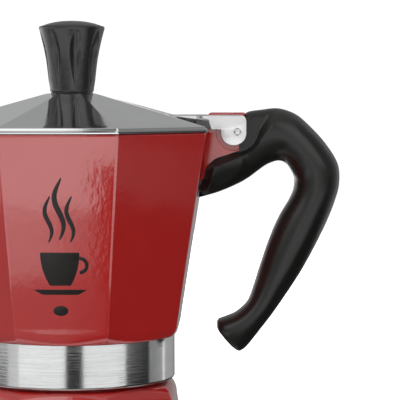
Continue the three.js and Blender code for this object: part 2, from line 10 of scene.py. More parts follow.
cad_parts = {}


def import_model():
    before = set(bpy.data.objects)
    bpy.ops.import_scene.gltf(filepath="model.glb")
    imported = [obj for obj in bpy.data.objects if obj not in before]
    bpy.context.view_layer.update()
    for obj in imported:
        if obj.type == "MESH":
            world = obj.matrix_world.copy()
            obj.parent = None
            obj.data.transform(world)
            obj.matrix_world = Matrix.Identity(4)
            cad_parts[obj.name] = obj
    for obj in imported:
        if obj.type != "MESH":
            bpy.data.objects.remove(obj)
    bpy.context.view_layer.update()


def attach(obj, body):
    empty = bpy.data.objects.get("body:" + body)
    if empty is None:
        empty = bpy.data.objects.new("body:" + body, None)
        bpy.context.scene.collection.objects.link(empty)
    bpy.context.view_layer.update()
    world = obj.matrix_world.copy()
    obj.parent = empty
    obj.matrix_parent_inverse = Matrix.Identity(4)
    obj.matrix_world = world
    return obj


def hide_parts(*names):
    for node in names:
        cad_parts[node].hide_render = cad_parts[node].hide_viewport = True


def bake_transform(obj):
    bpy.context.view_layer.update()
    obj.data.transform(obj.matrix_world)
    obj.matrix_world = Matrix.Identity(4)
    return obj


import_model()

MM = 0.001
TURN = 2 * math.pi
EIGHTH = TURN / 8
MERGE = 1e-7  # metres; points closer than this become one
SHARP_DEGREES = 35.0

# ---- Driving sizes, the same as the CAD model's ----
BASE_CORNER = 55.3
SHOULDER_CORNER, SHOULDER_Z = 45.05, 63.9
BOILER_WALL = 2.8
NECK_RADIUS, NECK_BORE = 37.2, 34.2
NECK_FOOT_Z, NECK_TOP_Z = 68.9, 82.0
THREAD_PITCH, THREAD_DEPTH, THREAD_CLEARANCE = 4.0, 1.4, 0.5

COLLAR_RADIUS = 41.96
COLLAR_BOTTOM_Z, COLLAR_TOP_Z, COLLAR_CHAMFER = 70.0, 87.9, 0.7
GASKET_RADIUS, GASKET_BORE, GASKET_TOP_Z = 36.5, 28.5, 87.3
PLATE_RADIUS, PLATE_THICKNESS = 30.2, 0.8

BODY_LOW_CORNER, BODY_LOW_Z = 47.38, 93.27
RIM_CORNER, RIM_Z = 60.23, 170.7
BODY_WALL = 2.4
FLOOR_Z = 94.4
COLUMN_HOLE = 6.3
SEAT_FOOT_Z, SEAT_ROOF_Z = 83.2, 89.4  # of the housing for gasket and filter plate
GAP = 0.3  # between pieces that fit into each other
SPOUT_LOW_Z, SPOUT_REACH, SPOUT_HALF = 118.0, 72.0, 17.5

LID_CORNER, LID_EDGE_Z, LID_SLOPE, LID_TOP_Z = 60.66, 172.83, 0.267, 186.3
LID_WALL = 1.8
PIN_X, PIN_Z, PIN_RADIUS = 67.7, 170.7, 1.3
LUG_HALF, EAR_INSIDE, EAR_OUTSIDE = 5.3, 5.65, 7.6
HINGE_TOP_Z, LUG_REACH = 177.5, 14.2

KNOB_FLUTES = 8

VALVE_ANGLE, VALVE_Z = math.radians(-45), 45.0


def apothem(corner):
    """Distance from an octagon's centre to its facets."""
    return corner * math.cos(EIGHTH / 2)


def body_corner(z):
    return BODY_LOW_CORNER + (RIM_CORNER - BODY_LOW_CORNER) * (z - BODY_LOW_Z) / (RIM_Z - BODY_LOW_Z)


def boiler_corner(z):
    return BASE_CORNER + (SHOULDER_CORNER - BASE_CORNER) * z / SHOULDER_Z


# ---- Node materials ----
class Nodes:
    """A material's node tree with short calls for what this script needs."""

    def __init__(self, name):
        self.material = bpy.data.materials.new(name)
        self.material.use_nodes = True
        self.tree = self.material.node_tree
        self.shader = self.tree.nodes["Principled BSDF"]

    def add(self, kind, **settings):
        node = self.tree.nodes.new(kind)
        inputs = settings.pop("inputs", {})
        for key, value in settings.items():
            setattr(node, key, value)
        for key, value in inputs.items():
            self.feed(node.inputs[key], value)
        return node

    def feed(self, socket, value):
        if isinstance(value, bpy.types.NodeSocket):
            self.tree.links.new(value, socket)
        else:
            socket.default_value = value

    def set(self, **values):
        """Shader inputs by name, with underscores for spaces."""
        for key, value in values.items():
            self.feed(self.shader.inputs[key.replace("_", " ")], value)

    def place(self, scale=(1, 1, 1)):
        """Object coordinates, scaled."""
        coords = self.add("ShaderNodeTexCoord").outputs["Object"]
        mapping = self.add("ShaderNodeMapping", inputs={"Vector": coords, "Scale": scale})
        return mapping.outputs["Vector"]

    def noise(self, scale, detail=2.0, roughness=0.5, stretch=(1, 1, 1)):
        return self.add("ShaderNodeTexNoise", inputs={
            "Vector": self.place(stretch), "Scale": scale, "Detail": detail,
            "Roughness": roughness}).outputs["Fac"]

    def ramp(self, value, low, high, out_low, out_high):
        return self.add("ShaderNodeMapRange", inputs={
            "Value": value, "From Min": low, "From Max": high,
            "To Min": out_low, "To Max": out_high}).outputs["Result"]

    def blend(self, share, first, second):
        """Colour mix."""
        mix = self.add("ShaderNodeMix", data_type="RGBA")
        self.feed(mix.inputs["Factor"], share)
        self.feed(mix.inputs[6], first)
        self.feed(mix.inputs[7], second)
        return mix.outputs[2]

    def bump(self, height, distance, strength=1.0, normal=None):
        inputs = {"Height": height, "Distance": distance * MM, "Strength": strength}
        if normal is not None:
            inputs["Normal"] = normal
        return self.add("ShaderNodeBump", inputs=inputs).outputs["Normal"]


def enamel():
    """Stoved red enamel: gloss with orange peel and slightly uneven depth of colour."""
    m = Nodes("red_enamel")
    peel = m.noise(560, detail=1.0, stretch=(1, 1, 0.6))
    swell = m.noise(60, detail=1.0)
    cloud = m.noise(25, detail=3.0)
    colour = m.blend(cloud, (0.35, 0.010, 0.009, 1), (0.39, 0.013, 0.011, 1))
    m.set(Base_Color=colour, Roughness=m.ramp(peel, 0.3, 0.7, 0.3, 0.4), IOR=1.12)
    m.set(Coat_Weight=1.0, Coat_Roughness=0.09, Coat_IOR=2.15)
    m.set(Normal=m.bump(peel, 0.02, 1.0, m.bump(swell, 0.08)))
    m.set(Coat_Normal=m.bump(peel, 0.024, 1.0, m.bump(swell, 0.08)))
    return m.material


def polished(name="polished_aluminium", rough=0.06):
    """Buffed aluminium with faint haze and hairline marks."""
    m = Nodes(name)
    haze = m.noise(90, detail=4.0)
    hairs = m.noise(700, detail=2.0, stretch=(1, 0.05, 1))
    m.set(Base_Color=m.blend(haze, (0.80, 0.81, 0.82, 1), (0.86, 0.865, 0.87, 1)), Metallic=1.0)
    m.set(Roughness=m.ramp(haze, 0.3, 0.7, rough, rough + 0.05))
    m.set(Normal=m.bump(hairs, 0.003))
    return m.material


def turned_aluminium():
    """Lathe-turned aluminium: fine rings round the Z axis that smear its reflections up and down."""
    m = Nodes("turned_aluminium")
    rings = m.noise(1.0, detail=3.0, stretch=(40, 40, 5200))
    chatter = m.noise(1.0, detail=2.0, stretch=(140, 140, 1500))
    tone = m.noise(1.0, detail=2.0, stretch=(30, 30, 900))
    m.set(Base_Color=m.blend(tone, (0.56, 0.565, 0.565, 1), (0.68, 0.685, 0.685, 1)), Metallic=1.0)
    m.set(Roughness=m.ramp(rings, 0.3, 0.7, 0.10, 0.2))
    m.set(Normal=m.bump(rings, 0.006, 1.0, m.bump(chatter, 0.03)))
    return m.material


def cast_aluminium(name="cast_aluminium", rough=0.42, tone=0.74):
    """Satin cast metal: ears, inside of the castings, funnel and column."""
    m = Nodes(name)
    grain = m.noise(1400, detail=3.0)
    cloud = m.noise(45, detail=3.0)
    light = tone + 0.08
    m.set(Base_Color=m.blend(cloud, (tone, tone, tone, 1), (light, light, light, 1)), Metallic=1.0)
    m.set(Roughness=m.ramp(cloud, 0.3, 0.7, rough - 0.06, rough + 0.06))
    m.set(Normal=m.bump(grain, 0.012))
    return m.material


def black_plastic(name="black_plastic", ior=1.52):
    """Satin black moulding, finely textured, a little worn to gloss in patches."""
    m = Nodes(name)
    grain = m.noise(2600, detail=3.0)
    cloud = m.noise(38, detail=3.0)
    m.set(Base_Color=m.blend(cloud, (0.006, 0.006, 0.0055, 1), (0.010, 0.010, 0.009, 1)))
    m.set(Roughness=m.ramp(cloud, 0.3, 0.7, 0.25, 0.33), IOR=ior)
    m.set(Normal=m.bump(grain, 0.006))
    return m.material


def steel():
    m = Nodes("bright_steel")
    scratch = m.noise(900, detail=2.0, stretch=(1, 1, 0.1))
    m.set(Base_Color=(0.78, 0.78, 0.77, 1), Metallic=1.0)
    m.set(Roughness=m.ramp(scratch, 0.3, 0.7, 0.12, 0.22), Normal=m.bump(scratch, 0.002))
    return m.material


def brass():
    m = Nodes("valve_brass")
    cloud = m.noise(120, detail=3.0)
    m.set(Base_Color=m.blend(cloud, (0.66, 0.46, 0.20, 1), (0.80, 0.60, 0.32, 1)), Metallic=1.0)
    m.set(Roughness=m.ramp(cloud, 0.3, 0.7, 0.22, 0.34))
    return m.material


def rubber(name, low, high):
    m = Nodes(name)
    grain = m.noise(900, detail=3.0)
    m.set(Base_Color=m.blend(grain, low, high), Roughness=0.62, Normal=m.bump(grain, 0.02))
    return m.material


def ink():
    """Screen-printed black, a touch glossier than the plastic."""
    m = Nodes("print_black")
    cloud = m.noise(300, detail=2.0)
    m.set(Base_Color=(0.010, 0.008, 0.007, 1), Roughness=m.ramp(cloud, 0.3, 0.7, 0.26, 0.36))
    return m.material


ENAMEL = enamel()
POLISHED = polished()
TURNED = turned_aluminium()
CAST = cast_aluminium()
EAR_METAL = cast_aluminium("brushed_ear", 0.24, 0.82)
# Near-black copy of the cast metal: painted shade, with the dark it would mirror, for the lid bridge's
# flanks and the web between the ears
SHADE_PAINTED_CAST = cast_aluminium("painted_shade_flank", 0.45, 0.10)
PLASTIC = black_plastic()
KNOB_PLASTIC = black_plastic("knob_plastic", 1.75)
STEEL = steel()
BRASS = brass()
RUBBER = rubber("seal_rubber", (0.62, 0.60, 0.55, 1), (0.74, 0.72, 0.66, 1))
FIBRE = rubber("dark_fibre", (0.012, 0.012, 0.012, 1), (0.02, 0.02, 0.02, 1))
INK = ink()


# ---- Mesh tools ----
def linked(name, data):
    """New object around data, in the scene."""
    thing = bpy.data.objects.new(name, data)
    bpy.context.scene.collection.objects.link(thing)
    return thing


def weld(data, slivers=False):
    """Joins coinciding points and turns every face outwards; slivers also dissolves empty faces."""
    work = bmesh.new()
    work.from_mesh(data)
    bmesh.ops.remove_doubles(work, verts=work.verts, dist=MERGE)
    if slivers:
        bmesh.ops.dissolve_degenerate(work, edges=work.edges, dist=1e-8)
    bmesh.ops.recalc_face_normals(work, faces=work.faces)
    work.to_mesh(data)
    work.free()


def level_ring(radius, angles, z):
    """Points at height z, at one radius or a radius for each angle."""
    return np.stack([radius * np.cos(angles), radius * np.sin(angles), np.full(len(angles), z)], 1)


def round_off(before, corner, after, reach, steps):
    """Points of the curve that replaces a corner, from reach before it to reach after it."""
    start = corner + (before - corner) / np.linalg.norm(before - corner) * reach
    end = corner + (after - corner) / np.linalg.norm(after - corner) * reach
    return [(1 - t) ** 2 * start + 2 * t * (1 - t) * corner + t * t * end for t in np.linspace(0, 1, steps)]


def loft(rings, closed=False, capped=True, finish=None):
    """Rings of equally many points -> (points, faces, finish of each face). closed joins the last
    ring to the first; finish gives each band's material index."""
    rings = np.asarray(rings, float)
    count, around = rings.shape[:2]
    bands = count if closed else count - 1
    faces, slots = [], []
    for r in range(bands):
        a, b = r * around, ((r + 1) % count) * around
        for i in range(around):
            j = (i + 1) % around
            faces.append((a + i, a + j, b + j, b + i))
            slots.append(finish[r] if finish is not None else 0)
    if capped and not closed:
        faces.append(tuple(range(around)))
        faces.append(tuple(range((count - 1) * around, count * around)))
        slots += [slots[0], slots[-1]]
    return rings.reshape(-1, 3), faces, slots


def turned(profile, segments=96, closed=None, finish=None):
    """Solid of revolution about Z from (radius, z) rows; closed where the profile never meets the axis."""
    rows = np.array(profile, float)
    angles = np.arange(segments) * TURN / segments
    rings = [level_ring(r, angles, z) for r, z in np.maximum(rows, [[1e-3, -1e9]])]
    loop = closed if closed is not None else min(rows[0][0], rows[-1][0]) > 0.01
    return loft(rings, closed=loop, capped=not loop, finish=finish)


def softened(profile, radius, steps=4):
    """(radius, z) rows with every corner rounded, except the two ends of an open profile."""
    rows = [np.array(p, float) for p in profile]
    out = [rows[0]]
    for before, corner, after in zip(rows, rows[1:], rows[2:]):
        reach = min(radius, 0.45 * np.linalg.norm(before - corner), 0.45 * np.linalg.norm(after - corner))
        out += round_off(before, corner, after, reach, steps)
    return out + [rows[-1]]


def mesh(name, parts, materials, body, nodes, sharp=SHARP_DEGREES, move=None):
    """One Blender object from (points, faces, finishes) parts, riding on a body for some CAD nodes;
    body is None for a piece that rides on no body."""
    points, faces, slots = [], [], []
    for part_points, part_faces, part_slots in parts:
        start = len(points)
        points += [tuple(p) for p in np.asarray(part_points) * MM]
        faces += [tuple(start + i for i in face) for face in part_faces]
        slots += list(part_slots)
    data = bpy.data.meshes.new(name)
    data.from_pydata(points, [], faces)
    data.polygons.foreach_set("material_index", slots)
    for material in materials:
        data.materials.append(material)
    weld(data, slivers=True)
    if move is not None:
        data.transform(move)
    data.shade_smooth()
    data.set_sharp_from_angle(angle=math.radians(sharp))
    piece = linked(name, data)
    if body is not None:
        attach(piece, body)
    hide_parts(*nodes)
    return piece


def lathe(name, profile, rounding, segments, material, body, node, steps=4, move=None):
    """Turned piece with rounded edges, of one material and for one CAD node."""
    part = turned(softened(profile, rounding, steps), segments)
    return mesh(name, [part], [material], body, [node], move=move)


def curve_plate(outlines, half, bevel):
    """Flat plate from closed outlines of (x, z) points, holes among them, centred on y = 0 with rounded
    edges; returns a part."""
    data = bpy.data.curves.new("plate", "CURVE")
    data.dimensions = "2D"
    data.fill_mode = "BOTH"
    data.extrude = (half - bevel) * MM
    data.bevel_depth = bevel * MM
    data.bevel_resolution = 3
    data.offset = -bevel * MM
    for points in outlines:
        spline = data.splines.new("POLY")
        spline.points.add(len(points) - 1)
        for target, (x, z) in zip(spline.points, points):
            target.co = (x * MM, z * MM, 0, 1)
        spline.use_cyclic_u = True
    carrier = linked("plate", data)
    bpy.context.view_layer.update()
    flat = bpy.data.meshes.new_from_object(carrier)
    flat.transform(Matrix.Rotation(math.pi / 2, 4, "X"))
    points = [np.array(v.co) / MM for v in flat.vertices]
    faces = [tuple(p.vertices) for p in flat.polygons]
    bpy.data.objects.remove(carrier)
    bpy.data.curves.remove(data)
    bpy.data.meshes.remove(flat)
    return points, faces, [0] * len(faces)


def shifted(part, offset=(0, 0, 0), finish=None):
    """A part moved by an offset and, if wanted, given one finish."""
    points, faces, slots = part
    moved = [np.array(p) + np.array(offset, float) for p in points]
    if finish is not None:
        slots = [finish] * len(faces)
    return moved, faces, slots


def flat_lying(part, z):
    """A curve_plate turned to lie level at height z."""
    points, faces, slots = part
    return [(p[0], p[2], z - p[1]) for p in points], faces, slots


def circle(radius, x=0.0, z=0.0, count=32, start=0.0, sweep=TURN):
    """(x, z) points of a circle, or of an arc with both of its ends."""
    closed = abs(abs(sweep) - TURN) < 1e-6
    steps = count if closed else count - 1
    angles = [start + sweep * i / steps for i in range(count)]
    return [(x + radius * math.cos(angle), z + radius * math.sin(angle)) for angle in angles]


def rounded(outline, radius, steps=5):
    """Closed outline with its corners rounded; radius is one number or one for each corner."""
    radii = radius if hasattr(radius, "__len__") else [radius] * len(outline)
    points = [np.array(p, float) for p in outline]
    out = []
    for i, corner in enumerate(points):
        before, after = points[i - 1], points[(i + 1) % len(points)]
        reach = min(radii[i], 0.48 * np.linalg.norm(before - corner), 0.48 * np.linalg.norm(after - corner))
        if reach < 0.01:
            out.append(tuple(corner))
            continue
        out += [tuple(p) for p in round_off(before, corner, after, reach, steps)]
    return out


def joined(parts):
    """Several closed parts as one."""
    points, faces, slots = [], [], []
    for part_points, part_faces, part_slots in parts:
        faces += [tuple(len(points) + i for i in face) for face in part_faces]
        slots += list(part_slots)
        points += [tuple(p) for p in part_points]
    return points, faces, slots


def subtract(piece, cutter_part, crossing=False):
    """Cuts a closed part out of a finished piece; crossing is for pieces whose parts overlap."""
    points, faces = cutter_part[:2]
    data = bpy.data.meshes.new("cutter")
    data.from_pydata([tuple(np.array(p) * MM) for p in points], [], faces)
    weld(data)
    cutter = linked("cutter", data)
    modifier = piece.modifiers.new("cut", "BOOLEAN")
    modifier.operation = "DIFFERENCE"
    modifier.solver = "EXACT"
    modifier.use_self = crossing
    modifier.object = cutter
    bpy.context.view_layer.update()
    evaluated = piece.evaluated_get(bpy.context.evaluated_depsgraph_get())
    result = bpy.data.meshes.new_from_object(evaluated)
    piece.modifiers.clear()
    piece.data = result
    bpy.data.objects.remove(cutter)
    result.set_sharp_from_angle(angle=math.radians(SHARP_DEGREES))


# ---- Octagons ----
CORNER_STEPS = (0, 0.25, 0.5, 0.75, 1.0, 1.3, 1.8, 3.0, 6.0, 11.0, 17.0, 22.5)  # degrees off a corner
SPOUT_STEPS = np.arange(-34, 34.01, 0.8)


def octagon_angles(spout=False):
    """Angles round an octagon, dense at its corners and, if wanted, across the spout at -X."""
    degrees = {round(45 * k + 22.5 + side * step, 3) % 360 for k in range(8) for step in CORNER_STEPS
               for side in (-1, 1)}
    if spout:
        degrees |= {round(180 + float(step), 3) for step in SPOUT_STEPS}
    ordered = sorted(degrees)
    kept = [a for a, b in zip(ordered, ordered[1:] + [ordered[0] + 360]) if b - a > 0.12]
    return np.radians(kept)


def octagon_radius(angles, corner, fillet):
    """Distance to an octagon's outline at each angle, with its corners rounded to a fillet radius."""
    off_facet = np.abs(angles - EIGHTH * np.round(angles / EIGHTH))
    side = apothem(corner)
    centre = (side - fillet) / math.cos(EIGHTH / 2)
    off_corner = EIGHTH / 2 - off_facet
    inside = np.maximum(fillet ** 2 - (centre * np.sin(off_corner)) ** 2, 0)
    on_fillet = centre * np.cos(off_corner) + np.sqrt(inside)
    tangent = math.atan2(centre * math.sin(EIGHTH / 2), side)
    return np.where(off_facet < tangent, side / np.cos(off_facet), on_fillet)


def octagon_ring(angles, corner, z, roundness=0.0, fillet=2.2, spout=None):
    """Level ring of points; roundness runs from 0, an octagon, to 1, a circle."""
    radius = (1 - roundness) * octagon_radius(angles, corner, min(fillet, corner / 3)) + roundness * corner
    if spout is not None:
        radius = spout(angles, z, radius)
    return level_ring(radius, angles, z)


def eased(count=9):
    """Quarter-circle steps: (share outward, share upward) from the flat to the upright."""
    turns = np.linspace(0, math.pi / 2, count)
    return [(math.sin(t), 1 - math.cos(t)) for t in turns]


# ---- Collector ----
def spout_outline(wall):
    """Returns a function that draws a ring out into the pouring beak, wall thinner for the inside."""

    def shape(angles, z, radius):
        rise = (z - SPOUT_LOW_Z) / (RIM_Z - SPOUT_LOW_Z)
        if rise <= 0:
            return radius
        rise = min(rise, 1.0)
        side = apothem(body_corner(min(z, RIM_Z)))
        tip = side + (SPOUT_REACH - side) * rise ** 1.12
        half = SPOUT_HALF * rise ** 0.8 + 1e-3
        length = math.hypot(half, tip - side)
        off = (angles - math.pi + math.pi) % TURN - math.pi
        blunt = np.sqrt(np.sin(off) ** 2 + 0.03 ** 2) - 0.012
        across = (half * np.cos(off) + (tip - side) * blunt) / length
        beak = (half * tip / length - wall) / np.maximum(across, 1e-6)
        beak = np.where(np.abs(off) < math.radians(40), beak, 0)
        merge = 1.6
        joined = 0.5 * (radius + beak + np.sqrt((radius - beak) ** 2 + merge ** 2))
        share = np.clip((math.radians(34) - np.abs(off)) / math.radians(8), 0, 1)
        share *= min(rise * 8, 1)
        return radius + (joined - radius) * share

    return shape


def collector_rows():
    """(corner, z, roundness, spout wall, finish) from the collar up, over the rim and down inside."""
    bare, red = 1, 0
    rows = []
    inner_bore = NECK_RADIUS + THREAD_CLEARANCE

    def add(corner, z, roundness=0.0, wall=None, finish=red):
        rows.append((corner, z, roundness, wall, finish))

    chamfer_foot, chamfer_top = COLLAR_RADIUS - COLLAR_CHAMFER, COLLAR_BOTTOM_Z + COLLAR_CHAMFER
    collar = [(inner_bore, 70.6), (inner_bore + 0.5, COLLAR_BOTTOM_Z),
              (chamfer_foot - 0.15, COLLAR_BOTTOM_Z), (chamfer_foot + 0.15, COLLAR_BOTTOM_Z + 0.12),
              (COLLAR_RADIUS - 0.12, chamfer_top - 0.15), (COLLAR_RADIUS, chamfer_top + 0.15),
              (COLLAR_RADIUS, chamfer_top + 0.45), (COLLAR_RADIUS, 79),
              (COLLAR_RADIUS, COLLAR_TOP_Z - 0.6), (COLLAR_RADIUS, COLLAR_TOP_Z - 0.35)]
    for radius, z in collar:
        add(radius, z, 1, None, bare)
    add(COLLAR_RADIUS, COLLAR_TOP_Z - 0.1, 1, None, red)
    for out, up in eased(12)[:-2]:
        corner = COLLAR_RADIUS + 0.25 + (BODY_LOW_CORNER - COLLAR_RADIUS) * out
        z = COLLAR_TOP_Z + (BODY_LOW_Z + 1.5 - COLLAR_TOP_Z) * up
        add(corner, z, (1 - out) ** 1.2, None)
    for z in (94, 96, 100, 106, 112, *np.arange(SPOUT_LOW_Z - 2, RIM_Z - 1.6, 2.0), RIM_Z - 1.05):
        add(body_corner(z), z, 0, 0.0)
    for out, up in reversed(eased(5)):
        add(body_corner(RIM_Z - 0.8 * up) - 0.8 * (1 - out), RIM_Z - 0.8 * up, 0, 0.8 * (1 - out))
    inner = BODY_WALL / math.cos(EIGHTH / 2)
    for out, up in eased(4):
        corner = body_corner(RIM_Z) - inner + 0.5 * (1 - out)
        add(corner, RIM_Z - 0.5 * up, 0, BODY_WALL - 0.5 * (1 - out), bare)
    for z in (*np.arange(RIM_Z - 2, SPOUT_LOW_Z - 4, -2.0), 112, 106, 101):
        add(body_corner(z) - inner, z, 0, BODY_WALL, bare)
    low = body_corner(FLOOR_Z) - inner
    for out, up in reversed(eased(7)):
        add(low - 5 * (1 - out), FLOOR_Z + 5 * up, 0.4 * (1 - out), None, bare)
    for radius in (20, 10, COLUMN_HOLE):
        add(radius, FLOOR_Z, 1, None, bare)
    return rows


def collector_shell():
    angles = octagon_angles(spout=True)
    rings, finish = [], []
    for corner, z, roundness, wall, slot in collector_rows():
        spout = spout_outline(wall) if wall is not None else None
        rings.append(octagon_ring(angles, corner, z, roundness, spout=spout))
        finish.append(slot)
    plate_seat, gasket_seat = PLATE_RADIUS + GAP, GASKET_RADIUS + GAP
    seat = [(COLUMN_HOLE, SEAT_ROOF_Z), (plate_seat, SEAT_ROOF_Z), (plate_seat, GASKET_TOP_Z + GAP),
            (gasket_seat, GASKET_TOP_Z + GAP), (gasket_seat, SEAT_FOOT_Z),
            (NECK_RADIUS + THREAD_CLEARANCE, SEAT_FOOT_Z)]
    for radius, z in seat:
        rings.append(octagon_ring(angles, radius, z, 1))
        finish.append(1)
    return loft(rings, closed=True, finish=finish)


def thread_ridge(root, crest, z0, z1, half_root, half_crest, phase=0.0):
    """Helical ridge of trapezium section, tapering to nothing at its ends."""
    turns = (z1 - z0) / THREAD_PITCH
    steps = int(turns * 72)
    rings = []
    for i in range(steps + 1):
        share = i / steps
        z = z0 + (z1 - z0) * share
        angle = TURN * z / THREAD_PITCH + phase
        fade = min(1, min(share, 1 - share) * steps / 14)
        top = root + (crest - root) * max(fade, 0.05)
        section = [(root, -half_root), (top, -half_crest), (top, half_crest), (root, half_root)]
        rings.append([(r * math.cos(angle), r * math.sin(angle), z + dz) for r, dz in section])
    return loft(rings)


LUG_OUTLINE = [(51.6, 150.8), (53.0, 151.4), (55.6, 156.2), (58.8, 159.4), (68.5, 162.8), (70.8, 178.4),
               (56.4, 178.4), (55.2, 176.6), (54.6, 169.9)]
LOBE_X, LOBE_Z, LOBE = 66.25, 170.3, 5.25  # round lower end of the ears
RELIEF, RELIEF_DEPTH = 7.1, 0.6  # round step in the lug that the ears swing in
RELIEF_START_X, RELIEF_START_Z = 68.65, 163.7  # where its arc leaves the lug's lower edge


def lug():
    """Core plate and, on each side, a skin that stops short of the ears' round relief."""
    outline = rounded(LUG_OUTLINE, [0, 1.0, 3.0, 2.0, 0.6, 0.8, 0.8, 0.5, 0])
    start = math.atan2(RELIEF_START_Z - LOBE_Z, RELIEF_START_X - LOBE_X)
    step = circle(RELIEF, LOBE_X, LOBE_Z, 40, start, -1.5 * math.pi - start)
    skin_outline = rounded(LUG_OUTLINE[:5], [0, 1.0, 3.0, 2.0, 0.3]) + step
    skin_outline += [(66.3, 178.3), (56.4, 178.3), (55.2, 176.6), (54.6, 169.9)]
    skin = curve_plate([skin_outline], RELIEF_DEPTH, 0.25)
    parts = [curve_plate([outline], LUG_HALF - RELIEF_DEPTH, 0.45)]
    for side in (-1, 1):
        parts.append(shifted(skin, (0, side * (LUG_HALF - RELIEF_DEPTH), 0)))
    return parts


def lug_fillets():
    """Concave blends between the wall and the lug's two sides."""
    blend = 3.2
    parts = []
    for side in (-1, 1):
        rings = []
        for z in np.linspace(151.4, RIM_Z - 0.4, 11):
            wall = apothem(body_corner(z))
            arc = [(wall + blend - blend * math.sin(t), LUG_HALF + blend - blend * math.cos(t))
                   for t in np.linspace(0, math.pi / 2, 8)]
            section = [(wall - 0.5, LUG_HALF - 0.5), (wall + blend, LUG_HALF - 0.5), *arc,
                       (wall - 0.5, LUG_HALF + blend)]
            rings.append([(x, side * y, z) for x, y in section])
        parts.append(loft(rings))
    return parts


def collector():
    fin = curve_plate([[(51, 148.2), (60, 149.8), (66, 154.2), (66, 160), (53.5, 160)]], 2.4, 0.3)
    crest = NECK_RADIUS + THREAD_CLEARANCE - 0.05
    thread = thread_ridge(NECK_RADIUS + 0.9, crest, 72.6, 82.0, 0.6, 0.3, phase=math.pi)
    parts = [collector_shell(), *lug(), fin, *lug_fillets(), shifted(thread, finish=1)]
    mesh("collector_body", parts, [ENAMEL, TURNED], "upper", ["collector"])


def column():
    rows = [(3.4, 89.7), (6.0, 89.7), (6.0, 94.7), (10.6, 94.7), (10.4, 96), (9.6, 99), (8.6, 110),
            (7.4, 126), (6.4, 141), (6.3, 146), (5.6, 148.6), (4.0, 149.6), (2.0, 150), (0, 150)]
    inside = [(0, 147.6), (2.0, 147.4), (3.4, 145.8), (3.4, 92)]
    piece = mesh("coffee_column", [turned(softened(rows + inside, 0.5), 64, closed=False)], [CAST], "upper",
                 ["column"])
    outlet = curve_plate([circle(1.9, 0, 143.6)], 12, 0.05)
    subtract(piece, outlet)


# ---- Lid, hinge and knob ----
def lid_corner(z):
    return LID_CORNER - (z - LID_EDGE_Z) / LID_SLOPE


def lid_shell():
    angles = octagon_angles()
    bottom = RIM_Z + 0.12
    inner = LID_WALL / math.cos(EIGHTH / 2)
    top = lid_corner(LID_TOP_Z)
    rows = [(2.3, LID_TOP_Z, 1, 1), (top - 1.2, LID_TOP_Z, 1, 1), (top - 0.4, LID_TOP_Z - 0.04, 0.3, 1)]
    for z in np.linspace(LID_TOP_Z - 0.3, LID_EDGE_Z + 0.4, 14):
        rows.append((lid_corner(z), z, 0, 1.2))
    step = [(1.1, LID_EDGE_Z + 0.26), (0.8, LID_EDGE_Z + 0.12), (0.74, LID_EDGE_Z - 0.28),
            (0.3, LID_EDGE_Z - 0.34), (0.06, LID_EDGE_Z - 0.46)]
    edge = [(0, LID_EDGE_Z - 0.7), (0, bottom + 0.2), (0.06, bottom + 0.06), (0.2, bottom), (3.7, bottom),
            (4.0, RIM_Z - 1.0), (4.3, RIM_Z - 1.2), (5.9, RIM_Z - 1.2), (6.2, RIM_Z - 0.9),
            (6.3, LID_EDGE_Z - 1.2)]
    rows += [(LID_CORNER - inset, z, 0, 1.4) for inset, z in step]
    rows += [(LID_CORNER - inset, z, 0, 1.5) for inset, z in edge]
    for z in np.linspace(LID_EDGE_Z - 0.6, LID_TOP_Z - 2.6, 8):
        rows.append((min(lid_corner(z) - inner - 3, LID_CORNER - 6.5), z, 0, 1.2))
    rows += [(8, LID_TOP_Z - 2.4, 1, 1), (2.3, LID_TOP_Z - 2.4, 1, 1)]
    rings = [octagon_ring(angles, corner, z, roundness, fillet) for corner, z, roundness, fillet in rows]
    return loft(rings, closed=True)


def ear_outline():
    """Side of one ear: a square shoulder above a round lobe."""
    arc = circle(LOBE, LOBE_X, LOBE_Z, 28, 0, -math.pi)
    corners = [(57.2, 171.5), (55.3, HINGE_TOP_Z), (71.5, HINGE_TOP_Z), *arc, (LOBE_X - LOBE, 171.5)]
    return rounded(corners, [0.2, 1.4, 3.2] + [0.0] * len(arc) + [0.2], 8)


def bridge_outlines():
    """Flank of the bridge and the wedge along its upper edge; both end in the arc the lug swings in."""
    reach = LUG_REACH + 0.3
    start = math.pi - math.asin((HINGE_TOP_Z - PIN_Z) / reach)
    middle = math.pi - math.asin((175.3 - PIN_Z) / reach)
    end = math.pi - math.asin((172.3 - PIN_Z) / reach)
    flank = [(37, HINGE_TOP_Z - 0.4), *circle(reach, PIN_X, PIN_Z, 8, start, end - start), (49, 172.5),
             (38, 175.8)]
    wedge = [(37, HINGE_TOP_Z), *circle(reach, PIN_X, PIN_Z, 5, start, middle - start), (40.5, 177.0)]
    return flank, wedge


def tapered(part, top, bottom, shrink):
    """Leans a plate's sides inwards towards its lower edge."""
    points, faces, slots = part
    out = []
    for x, y, z in points:
        share = min(max((top - z) / (top - bottom), 0), 1)
        out.append((x, y - math.copysign(shrink * share, y) if abs(y) > 0.01 else y, z))
    return out, faces, slots


